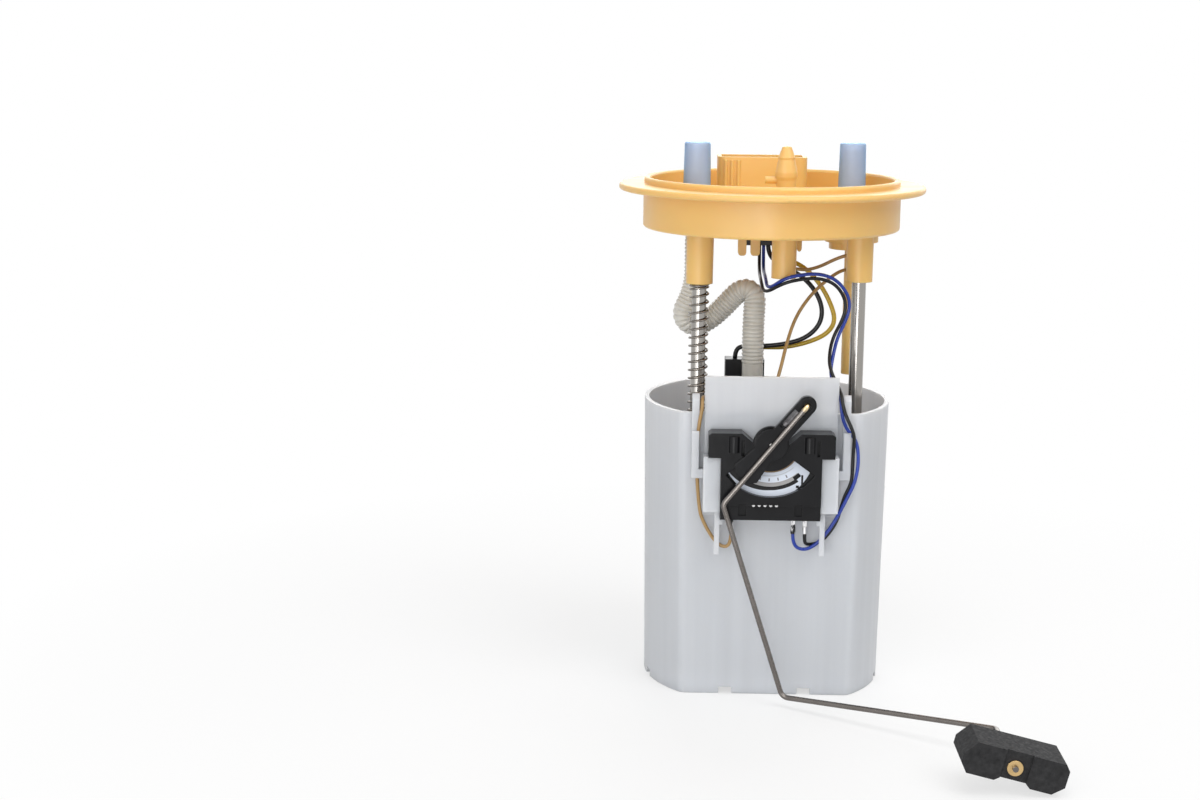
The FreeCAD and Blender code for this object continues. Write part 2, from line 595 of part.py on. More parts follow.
# Float arm: the lever with its wiper tail, drawn upright about the pivot and turned into place
def float_lever():
    flat = "lever_thick"
    arm = block("lever_arm", ("-lever_half", "lever_half"), (f"-{flat}", "0"), ("0", "lever_length"))
    end = cylinder("lever_end", "lever_half", flat, z="lever_length", along="forward")
    boss = cylinder("lever_boss", "hub_radius * 0.9", flat, along="forward")
    tail = prism("lever_tail", "XZ", [("-4", "0"), ("-6.4", "-tail_length * 0.88"), ("-3", "-tail_length"),
                                      ("3.5", "-tail_length"), ("6.4", "-tail_length * 0.85"), ("4", "0")], flat)
    front = (f"-{flat} - 1", f"1 - {flat}")
    pocket = block("lever_pocket", ("1 - lever_half", "-wire_radius - 0.5"), front,
                   ("lever_length * 0.38", "lever_length * 0.8"))
    body = cut("lever_body", fuse("lever_blank", arm, end, boss, tail), pocket)
    raised = []
    for name, sign, low, high in (("left", -1, 0.43, 0.52), ("right", 1, 0.53, 0.8)):
        across = (f"{sign} * wire_radius * 1.7 - 0.6", f"{sign} * wire_radius * 1.7 + 0.6")
        raised.append(block(f"lever_jaw_{name}", across, (f"-{flat} - wire_radius * 1.5", front[1]),
                            (f"lever_length * {low}", f"lever_length * {high}")))
    rim = cylinder("lever_rim", "lever_half - 0.5", "1.2", y=f"0.2 - {flat}", z="lever_length", along="forward")
    rim_hole = cylinder("lever_rim_hole", "wire_radius * 2", "3", y=f"1 - {flat}", z="lever_length", along="forward")
    rim_mouth = block("lever_rim_mouth", ("-wire_radius - 0.7", "wire_radius + 0.7"), (f"-{flat} - 3", "0"),
                      ("lever_length - lever_half", "lever_length"))
    raised.append(cut("lever_rim_open", rim, rim_hole, rim_mouth))
    pin_hole = cylinder("lever_pin_hole", "pin_radius + running_gap", "lever_thick * 3", y="lever_thick",
                        along="forward")
    wire_hole = cylinder("lever_wire_hole", "wire_radius", "lever_thick * 3", y="lever_thick",
                         z="lever_length", along="forward")
    wire_seat = block("lever_wire_seat", ("-wire_radius", "wire_radius"), (f"-{flat} - 1", f"0.7 - {flat}"),
                      ("lever_length - wire_radius * 1.6", "lever_length"))
    lever = cut("lever_upright", fuse("lever_whole", body, *raised), pin_hole, wire_hole, wire_seat)
    turned = doc.addObject("Part::Compound", "lever")
    turned.Links = [lever]
    node(place(turned, "hub_x", f"-{LEVER_BACK}", "hub_height", (0, 1, 0), "lever_angle"), "float_lever")
    strips = []
    for number, reach in enumerate(("track_radius - track_width / 2", "contact_radius - contact_width / 2")):
        depth = f"({LEVER_BACK} - {CARD_FACE} - 0.15)"
        strips.append(block(f"wiper_strip_{number}", (f"{number * 2.4 - 2.2}", f"{number * 2.4 - 1.2}"),
                            ("0", depth), (f"-({reach}) - 0.3", f"-({reach}) + 0.3")))
    strips.append(block("wiper_bridge", ("-2.6", "1.8"), ("0", "0.3"),
                        ("-tail_length", "-hub_radius - 0.6")))
    wiper = doc.addObject("Part::Compound", "wiper")
    wiper.Links = [fuse("wiper_upright", *strips)]
    node(place(wiper, "hub_x", f"-{LEVER_BACK}", "hub_height", (0, 1, 0), "lever_angle"), "wiper_contact")


def bent_path(points, share=0.45, tightest=None):
    """Straight runs joined by tangent arcs, with each arc's radius from its two runs."""
    edges, radii = [], []
    start = points[0]
    for before, corner, after in zip(points, points[1:], points[2:]):
        back, ahead = before - corner, after - corner
        half_turn = (math.pi - back.getAngle(ahead)) / 2
        radius = share * min(back.Length, ahead.Length) / math.tan(half_turn)
        if tightest:
            radius = min(radius, tightest)
        reach = radius * math.tan(half_turn)
        back.normalize()
        ahead.normalize()
        entry, leave = corner + back * reach, corner + ahead * reach
        centre = corner + (back + ahead).normalize() * (radius / math.cos(half_turn))
        middle = centre + (corner - centre).normalize() * radius
        edges.append(Part.LineSegment(start, entry).toShape())
        edges.append(Part.Arc(entry, middle, leave).toShape())
        radii.append(radius)
        start = leave
    edges.append(Part.LineSegment(start, points[-1]).toShape())
    return Part.Wire(edges), radii


def swept(path, points, radius):
    ring = Part.Wire(Part.makeCircle(radius, points[0], points[1] - points[0]))
    return path.makePipeShell([ring], True, True)


def tube(name, points, radius, bore=0):
    """A cord's solid along its hand-chosen points; the radii and volume are printed to check it."""
    path, radii = bent_path(points)
    shape = swept(path, points, radius)
    if bore:
        shape = shape.cut(swept(path, points, bore))
    wanted = math.pi * (radius ** 2 - bore ** 2) * path.Length
    print(f"{name}: length {path.Length:.1f}, smallest radius {min(radii):.1f}, "
          f"volume {shape.Volume:.0f} of {wanted:.0f}")
    return plain(name, shape)


# Arm wire: its end in the lever, three straight stretches and the end that carries the float
def arm_wire_points():
    angle = math.radians(value("lever_angle"))
    plane = -value(WIRE_PLANE)
    end_x = value("hub_x") + value("lever_length") * math.sin(angle)
    end_z = value("hub_height") + value("lever_length") * math.cos(angle)
    return [Vector(end_x, -value(LEVER_BACK), end_z), Vector(end_x, plane, end_z),
            Vector(value("bend_one_x"), plane, value("bend_one_z")),
            Vector(value("bend_two_x"), plane, value("bend_two_z")),
            Vector(value("float_x"), value("bend_three_y"), value("float_z")),
            Vector(value("float_x"), value("float_front") - value("wire_radius"), value("float_z"))]


def float_arm():
    points = arm_wire_points()
    path = bent_path(points, tightest=value("wire_radius") * 3)[0]
    node(plain("wire", swept(path, points, value("wire_radius"))), "arm_wire")
    half, tall = "float_length / 2", "float_height / 2"
    low = f"-{tall}"
    shape = [(f"-{half}", f"{low} + 4"), (f"3 - {half}", low), ("-7", low), ("-5", f"{low} + 1.6"),
             ("6", f"{low} + 1.6"), ("8", low), (f"{half} - 4.5", low), (half, f"{low} + 4"),
             (half, f"{tall} - 2.5"), (f"{half} - 2", tall), (f"4.5 - {half}", tall), (f"-{half}", f"{tall} - 6")]
    block_body = prism("float_block", "XZ", shape, "float_depth", y="float_depth")
    groove = block("float_groove", ("-5", "6"), ("-1", "1"), (f"{low} - 1", f"{tall} + 1"))
    bore = cylinder("float_bore", "wire_radius + running_gap", "float_depth + 4", y="float_depth + 2",
                    along="forward")
    upright = cut("float_upright", block_body, groove, bore)
    turned = doc.addObject("Part::Compound", "float")
    turned.Links = [upright]
    node(place(turned, "float_x", "float_front", "float_z", (0, 1, 0), "float_tilt"), "float")
    washer = cut("washer_ring", cylinder("washer_disc", "wire_radius * 2.7", "0.8", "float_x", "float_front + 0.9",
                                         "float_z", "forward"),
                 cylinder("washer_hole", "wire_radius", "4", "float_x", "float_front + 2", "float_z", "forward"))
    node(washer, "float_push_nut")
    collar = cut("collar_ring", cylinder("collar_disc", "wire_radius * 2.5", "2", "float_x",
                                         "float_front + float_depth + 2.3", "float_z", "forward"),
                 cylinder("collar_hole", "wire_radius", "6", "float_x", "float_front + float_depth + 4",
                          "float_z", "forward"))
    node(collar, "float_collar")


# Flange: the turned disc with everything that is moulded on it
def fuel_nipple(name, x, y, low, high, barbs):
    """A nipple between two heights, with barb rings below its upper end."""
    slim = "nipple_radius * 0.88"
    top = f"({high})"
    points = [("0", low), (slim, low)]
    for number in range(barbs, 0, -1):
        base = f"{top} - {number * 3.4}"
        points += [(slim, base), ("nipple_radius", f"{base} + 0.5"), (slim, f"{base} + 3")]
    points += [(slim, f"{top} - 0.2"), ("nipple_radius * 0.75", top), ("0", top)]
    return revolved(name, points, x, y)


def flange():
    skirt_bore = "skirt_radius - skirt_wall"
    ring_radius = "skirt_radius - 0.3"
    disc = revolved("flange_disc", [
        ("0", "deck_bottom"), (skirt_bore, "deck_bottom"), (skirt_bore, "skirt_bottom"),
        ("skirt_radius", "skirt_bottom"), ("skirt_radius", "lip_bottom"), ("lip_radius", "lip_bottom"),
        ("lip_radius", LIP_TOP), (ring_radius, LIP_TOP), (ring_radius, RING_TOP),
        (f"{ring_radius} - ring_wall", RING_TOP), (f"{ring_radius} - ring_wall", "deck_top"), ("0", "deck_top")])
    rounds = [("lip_radius", "lip_bottom"), ("lip_radius", LIP_TOP), (ring_radius, RING_TOP),
              (f"{ring_radius} - ring_wall", RING_TOP), ("skirt_radius", "skirt_bottom")]
    rounded(disc, "edge_round", lambda edge: any(is_circle(edge, *size) for size in rounds))
    pieces = [disc]
    holes = []
    for name, (x, y) in RODS.items():
        pieces.append(cone(f"boss_{name}", "boss_radius", "boss_radius * 1.04", "deck_bottom - boss_bottom + 1",
                           x, y, "boss_bottom"))
        holes.append(cylinder(f"boss_bore_{name}", "rod_radius", "rod_grip + 1", x, y, "boss_bottom - 1"))
    pieces.append(cone("stub", "stub_radius", "stub_radius * 1.03", "deck_bottom - stub_bottom + 1", "stub_x",
                       "stub_y", "stub_bottom"))
    barb = "stub_radius * 0.9"
    pieces.append(revolved("barbed_nipple", [
        ("0", "deck_top"), ("stub_radius * 0.8", "deck_top"), ("stub_radius * 0.8", f"deck_top + 9"),
        (barb, f"deck_top + 10.6"), (barb, f"deck_top + 12.6"), ("stub_radius * 0.66", f"deck_top + 18.4"),
        ("stub_radius * 0.7", f"deck_top + 19.2"), ("stub_radius * 0.37", f"deck_top + 24"),
        ("0", f"deck_top + 24.4")], "stub_x", "stub_y"))
    pieces.append(cylinder("key_peg", "1.6", "stub_radius * 1.6", "stub_x - stub_radius * 1.7", "stub_y",
                           f"deck_top + 9", "right"))
    pieces.append(fuel_nipple("feed_nipple", "feed_x", "feed_y", "deck_top", "nipple_top", 3))
    pieces.append(cylinder("feed_tail", "nipple_radius", "deck_bottom - feed_end + 1", "feed_x", "feed_y", "feed_end"))
    holes.append(cylinder("feed_bore", "nipple_bore", "nipple_top - feed_end + 2", "feed_x", "feed_y", "feed_end - 1"))
    pieces.append(fuel_nipple("return_nipple", "return_x", "return_y", "deck_top", "nipple_top", 3))
    chamber = [("0", "chamber_bottom"), ("chamber_radius * 0.84", "chamber_bottom"),
               ("chamber_radius * 0.84", "chamber_bottom + 3.3"), ("chamber_radius", "chamber_bottom + 3.3"),
               ("chamber_radius", "deck_bottom + 1"), ("0", "deck_bottom + 1")]
    pieces.append(revolved("return_chamber", chamber, "(return_x + pipe_x) / 2", "(return_y + pipe_y) / 2 + 3.5"))
    pieces.append(cylinder("return_pipe", "pipe_radius", "deck_bottom - pipe_end", "pipe_x", "pipe_y", "pipe_end"))
    holes.append(cylinder("return_bore", "nipple_bore", "nipple_top - chamber_bottom - 4", "return_x", "return_y",
                          "chamber_bottom + 5"))
    holes.append(cylinder("pipe_bore", "pipe_radius - 1.4", "chamber_bottom - pipe_end + 9", "pipe_x", "pipe_y",
                          "pipe_end - 1"))
    holes.append(block("return_link", ("return_x - 2", "pipe_x + 2"), ("return_y", "pipe_y"),
                       ("chamber_bottom + 5", "chamber_bottom + 8")))
    shroud = prism("shroud_body", "XY", [("shroud_left", "shroud_front"), ("shroud_right", "shroud_front"),
                                         ("shroud_right", "shroud_front + shroud_depth"),
                                         ("shroud_left", "shroud_front + shroud_depth")],
                   f"shroud_top - deck_top + 1", z=f"deck_top - 1")
    rounded(shroud, "shroud_wall * 2", is_upright)
    pieces.append(shroud)
    socket = prism("socket", "XY", [("shroud_left + shroud_wall", "shroud_front + shroud_wall"),
                                    ("shroud_right - shroud_wall", "shroud_front + shroud_wall"),
                                    ("shroud_right - shroud_wall", "shroud_front + shroud_depth - shroud_wall"),
                                    ("shroud_left + shroud_wall", "shroud_front + shroud_depth - shroud_wall")],
                   f"shroud_top - deck_top", z=f"deck_top + 1")
    rounded(socket, "shroud_wall", is_upright)
    holes.append(socket)
    for number in range(3):
        pieces.append(cylinder(f"shroud_rib_{number}", "0.9", f"shroud_top - deck_top - 1.5",
                               f"shroud_left + shroud_wall * 2 + {number * 3}", "shroud_front", "deck_top"))
    for number, (x, wide, low) in enumerate((("-14.2", "4.3", "finger_bottom"), ("-8.3", "4.8", "finger_bottom"),
                                             ("13.4", "2.7", "finger_bottom + 2.2"))):
        finger = [(x, "deck_bottom + 1"), (f"{x} + 0.2", f"{low} + 1.4"), (f"{x} + 0.6", f"{low} + 0.4"),
                  (f"{x} + 1.3", low), (f"{x} + {wide} - 1.3", low), (f"{x} + {wide} - 0.6", f"{low} + 0.4"),
                  (f"{x} + {wide} - 0.2", f"{low} + 1.4"), (f"{x} + {wide}", "deck_bottom + 1")]
        pieces.append(prism(f"finger_{number}", "XZ", finger, "3", y=f"{PLUG_FRONT} - 0.4"))
    for number in range(5):
        holes.append(blade(f"blade_slot_{number}", number))
    whole = cut("flange", fuse("flange_whole", *pieces), *holes)
    node(whole, "flange")


def blade(name, number):
    middle = f"({SHROUD_MIDDLE} + {number - 2} * blade_pitch)"
    return block(name, (f"{middle} - blade_width / 2", f"{middle} + blade_width / 2"),
                 (f"{BLADE_Y} - blade_thick / 2", f"{BLADE_Y} + blade_thick / 2"),
                 ("plug_bottom + plug_height - 5", "blade_top"))


# Electrical connector: contact blades through the deck and the plug with the wires below it
def connector():
    blades = [blade(f"blade_{number}", number) for number in range(5)]
    group = doc.addObject("Part::Compound", "blades")
    group.Links = blades
    node(group, "contact_blades")
    x = (f"{SHROUD_MIDDLE} - plug_width / 2", f"{SHROUD_MIDDLE} + plug_width / 2")
    housing = block("plug_block", x, (PLUG_FRONT, f"{PLUG_FRONT} + plug_depth"),
                    ("plug_bottom", "plug_bottom + plug_height"))
    neck = block("plug_neck", (f"{x[0]} + 2", f"{x[1]} - 2"), (f"{PLUG_FRONT} + 2", f"{PLUG_FRONT} + plug_depth - 2"),
                 ("plug_bottom + plug_height", "deck_bottom"))
    slots = [blade(f"plug_slot_{number}", number) for number in range(5)]
    node(cut("plug", fuse("plug_whole", housing, neck), *slots), "inner_plug")


# Transit caps over the two fuel nipples
def transit_caps():
    for name, x, y in (("feed", "feed_x", "feed_y"), ("return", "return_x", "return_y")):
        bore = "nipple_radius + running_gap"
        cap = revolved(f"{name}_cap_body", [
            (bore, CAP_BOTTOM), ("cap_radius", CAP_BOTTOM), ("cap_radius * 0.93", "cap_top"), ("0", "cap_top"),
            ("0", "nipple_top + 0.6"), (bore, "nipple_top + 0.6")], x, y)
        rounded(cap, "0.9", lambda edge: is_circle(edge, "cap_radius * 0.93", "cap_top"))
        node(cap, f"{name}_cap")


# Guide rods with their circlips, bushes and the coil spring
def guide_rods():
    for name, (x, y) in RODS.items():
        top = "(boss_bottom + rod_grip)"
        groove = f"({SLEEVE_BOTTOM} - stop_gap - clip_thick)"
        rod = revolved(f"rod_{name}", [
            ("0", "rod_bottom"), ("rod_radius - 0.8", "rod_bottom"), ("rod_radius", "rod_bottom + 0.8"),
            ("rod_radius", groove), ("rod_radius - 0.6", groove), ("rod_radius - 0.6", f"{groove} + clip_thick"),
            ("rod_radius", f"{groove} + clip_thick"), ("rod_radius", top), ("0", top)], x, y)
        node(rod, f"guide_rod_{name}")
        clip = cut(f"clip_ring_{name}", cylinder(f"clip_disc_{name}", "clip_radius", "clip_thick", x, y, groove),
                   cylinder(f"clip_hole_{name}", "rod_radius - 0.6", "clip_thick * 3", x, y, f"{groove} - 1"),
                   block(f"clip_mouth_{name}", (f"{x} - 1.6", f"{x} + 1.6"), (y, f"{y} + clip_radius * 2"),
                         (f"{groove} - 1", f"{groove} + clip_thick + 1")))
        node(clip, f"rod_circlip_{name}")
        bore = "rod_radius + running_gap"
        node(revolved(f"bush_{name}", [
            (bore, "sleeve_top - bush_length"), ("bush_radius", "sleeve_top - bush_length"),
            ("bush_radius", "sleeve_top"), ("sleeve_radius - 0.3", "sleeve_top"), ("sleeve_radius - 0.3", BUSH_TOP),
            (bore, BUSH_TOP)], x, y), f"guide_bush_{name}")


def coil_spring():
    """Square sections lofted round a helix; the ends lie flat on the bush and under the boss."""
    half = value("spring_wire") / 2
    radius, turns = value("spring_radius"), int(value("spring_turns"))
    low, high = value(BUSH_TOP) + half, value("boss_bottom") - half
    steps_per_turn, closed = 10, 1.25
    steps = turns * steps_per_turn
    sections = []
    for step in range(steps + 1):
        turn = step / steps_per_turn
        rise = min(max((turn - closed) / (turns - 2 * closed), 0), 1)
        height = low + (high - low - 2 * half * closed * 2.2) * rise
        height += half * 2.2 * (min(turn, closed) + max(0, turn - turns + closed))
        angle = 2 * math.pi * turn
        out = Vector(math.cos(angle), math.sin(angle), 0)
        middle = out * radius + Vector(value("left_x"), value("left_y"), height)
        up = Vector(0, 0, 1)
        corners = [middle + out * half, middle + up * half, middle - out * half, middle - up * half]
        sections.append(Part.makePolygon(corners + corners[:1]))
    node(plain("spring", Part.makeLoft(sections, True, True)), "coil_spring")


# Pump holder: a ring round the damper, two guide sleeves on webs, and legs down to the floor
def pump_holder():
    ring = cylinder("holder_ring", HOLDER_RADIUS, "holder_top - holder_bottom", "pump_x", "pump_y", "holder_bottom")
    pieces = [ring]
    holes = [cylinder("holder_bore", HOLDER_BORE, "holder_top", "pump_x", "pump_y", "holder_bottom - 1")]
    for name, (x, y) in RODS.items():
        pieces.append(cylinder(f"sleeve_{name}", "sleeve_radius", "sleeve_length", x, y, SLEEVE_BOTTOM))
        holes.append(cylinder(f"sleeve_bore_{name}", "rod_radius + 0.5", "sleeve_length + 2", x, y,
                              f"{SLEEVE_BOTTOM} - 1"))
        holes.append(cylinder(f"bush_seat_{name}", "bush_radius", "bush_length + 1", x, y, "sleeve_top - bush_length"))
        reach = f"sqrt(({x} - pump_x) * ({x} - pump_x) + ({y} - pump_y) * ({y} - pump_y))"
        web = block(f"web_{name}", ("can_radius", f"{reach} - rod_radius - 1"), ("-web_thick / 2", "web_thick / 2"),
                    (SLEEVE_BOTTOM, "holder_top - 2"))
        turned = doc.addObject("Part::Compound", f"web_turned_{name}")
        turned.Links = [web]
        heading = math.degrees(math.atan2(value(y) - value("pump_y"), value(x) - value("pump_x"))) % 360
        pieces.append(place(turned, "pump_x", "pump_y", 0, (0, 0, 1), heading))
    for number, heading in enumerate((35, 155, 275)):
        leg = block(f"leg_{number}", (HOLDER_BORE, f"{HOLDER_BORE} + web_thick * 2"), ("-web_thick", "web_thick"),
                    (FLOOR_TOP, "holder_bottom + 8"))
        turned = doc.addObject("Part::Compound", f"leg_turned_{number}")
        turned.Links = [leg]
        pieces.append(place(turned, "pump_x", "pump_y", 0, (0, 0, 1), heading))
    node(cut("holder", fuse("holder_whole", *pieces), *holes), "pump_holder")
    for name, low in (("lower", "holder_bottom + 2"), ("upper", "holder_top - 14")):
        node(cut(f"damper_{name}", cylinder(f"damper_outer_{name}", HOLDER_BORE, "12", "pump_x", "pump_y", low),
                 cylinder(f"damper_inner_{name}", "can_radius", "14", "pump_x", "pump_y", f"{low} - 1")),
             f"pump_damper_{name}")


# Pump: steel can, black head with the outlet nipple and contact block, inlet cover and strainer
def pump():
    node(revolved("can", [("can_radius - can_wall", "can_bottom"), ("can_radius", "can_bottom"),
                          ("can_radius", "can_top"), ("can_radius - can_wall", "can_top")],
                  "pump_x", "pump_y"), "pump_can")
    inside = "can_radius - can_wall"
    head = revolved("head_body", [
        ("shaft_radius + running_gap", "can_top - 4"), (inside, "can_top - 4"), (inside, "can_top"),
        ("can_radius", "can_top"), ("can_radius", "can_top + 2"), ("can_radius - 2", "can_top + 4"),
        ("can_radius - 2", "head_top - 3"), ("can_radius - 4", "head_top"), ("0", "head_top"),
        ("0", "can_top + 4"), ("shaft_radius + running_gap", "can_top + 4")], "pump_x", "pump_y")
    contacts = block("head_block", ("outlet_x - 12.4", "outlet_x + 6"), ("outlet_y + 7.5", "outlet_y + 17"),
                     ("head_top - 4", "block_top"))
    outlet = fuel_nipple("outlet_nipple", "outlet_x", "outlet_y", "head_top - 2", "outlet_top", 2)
    brush_slots = [brush(f"brush_slot_{name}", sign) for name, sign in SIDES.items()]
    bore = cylinder("outlet_bore", "nipple_bore", "outlet_top - head_top + 10", "outlet_x", "outlet_y", "head_top - 5")
    whole = fuse("head_whole", head, contacts, outlet, brush_ring())
    node(cut("head", whole, bore, *brush_slots), "pump_head")
    brushes = doc.addObject("Part::Compound", "brushes")
    brushes.Links = [brush(f"brush_{name}", sign) for name, sign in SIDES.items()]
    node(brushes, "carbon_brushes")
    cavity = "(impeller_radius + 0.4)"
    cover_top = "can_bottom"
    node(revolved("cover", [
        ("0", "cover_bottom"), ("can_radius - 4", "cover_bottom"), ("can_radius", "cover_bottom + 4"),
        ("can_radius", cover_top), (inside, cover_top), (inside, f"{cover_top} + 3"), (cavity, f"{cover_top} + 3"),
        (cavity, f"{cover_top} - 3"), ("shaft_radius + running_gap", f"{cover_top} - 3"),
        ("shaft_radius + running_gap", f"{cover_top} - 6"), ("0", f"{cover_top} - 6")], "pump_x", "pump_y"),
        "pump_inlet_cover")
    sock = prism("sock", "XY", [("-12", "-11"), ("12", "-11"), ("16.5", "-7"), ("16.5", "7"), ("12", "11"),
                                ("-12", "11"), ("-16.5", "7"), ("-16.5", "-7")], "5.5", "pump_x", "pump_y", FLOOR_TOP)
    rounded(sock, "2", lambda edge: not is_upright(edge))
    spout = cylinder("sock_spout", "5", f"cover_bottom - {FLOOR_TOP} - 2", "pump_x", "pump_y", f"{FLOOR_TOP} + 2")
    node(fuse("strainer", sock, spout), "inlet_strainer")


def brush_ring():
    """The ring under the head that carries the brushes round the commutator."""
    return cut("brush_ring", cylinder("brush_ring_outer", "can_radius - can_wall", "10", "pump_x", "pump_y",
                                      "can_top - 13"),
               cylinder("brush_ring_inner", "commutator_radius + 2", "12", "pump_x", "pump_y", "can_top - 14"))


def brush(name, sign):
    near, far = "(commutator_radius + running_gap)", "(commutator_radius + 8)"
    x = (f"pump_x + {near}", f"pump_x + {far}") if sign > 0 else (f"pump_x - {far}", f"pump_x - {near}")
    return block(name, x, ("pump_y - 2.5", "pump_y + 2.5"), ("can_top - 11", "can_top - 5"))


# Rotor and magnets inside the can
def rotor():
    low, high = "can_bottom + 12", "can_top - 24"
    magnets = []
    for name, heading in (("front", 210), ("back", 30)):
        outer = cylinder(f"magnet_outer_{name}", "can_radius - can_wall", f"{high} - ({low}) + 4", sweep=120)
        inner = cylinder(f"magnet_inner_{name}", "can_radius - can_wall - magnet_thick", "can_top", z="-1")
        turned = doc.addObject("Part::Compound", f"magnet_turned_{name}")
        turned.Links = [cut(f"magnet_{name}", outer, inner)]
        magnets.append(place(turned, "pump_x", "pump_y", f"{low} - 2", (0, 0, 1), heading))
    group = doc.addObject("Part::Compound", "magnets")
    group.Links = magnets
    node(group, "motor_magnets")
    core = cylinder("armature_core", "armature_radius", f"{high} - ({low})", "pump_x", "pump_y", low)
    slots = []
    for number in range(8):
        slot = block(f"armature_slot_{number}", ("armature_radius - 3", "armature_radius + 2"), ("-0.9", "0.9"),
                     (f"{low} - 1", f"{high} + 1"))
        turned = doc.addObject("Part::Compound", f"armature_slot_turned_{number}")
        turned.Links = [slot]
        slots.append(place(turned, "pump_x", "pump_y", 0, (0, 0, 1), number * 45))
    shaft_hole = cylinder("armature_hole", "shaft_radius", "can_top", "pump_x", "pump_y", "can_bottom")
    node(cut("armature", core, shaft_hole, *slots), "armature")
    node(cut("commutator", cylinder("commutator_body", "commutator_radius", "9", "pump_x", "pump_y", "can_top - 13.5"),
             cylinder("commutator_hole", "shaft_radius", "20", "pump_x", "pump_y", "can_top - 16")), "commutator")
    node(cylinder("shaft", "shaft_radius", "can_top + 3.6 - can_bottom + 5.6", "pump_x", "pump_y",
                  "can_bottom - 5.6"), "rotor_shaft")
    wheel = cylinder("impeller_disc", "impeller_radius", "impeller_thick", "pump_x", "pump_y", "can_bottom - 2.6")
    gaps = []
    for number in range(12):
        gap = block(f"impeller_gap_{number}", ("impeller_radius - 3", "impeller_radius + 2"), ("-1.4", "1.4"),
                    ("can_bottom - 4", "can_bottom + 4"))
        turned = doc.addObject("Part::Compound", f"impeller_gap_turned_{number}")
        turned.Links = [gap]
        gaps.append(place(turned, "pump_x", "pump_y", 0, (0, 0, 1), number * 30))
    wheel_hole = cylinder("impeller_hole", "shaft_radius", "20", "pump_x", "pump_y", "can_bottom - 8")
    node(cut("impeller", wheel, wheel_hole, *gaps), "impeller")


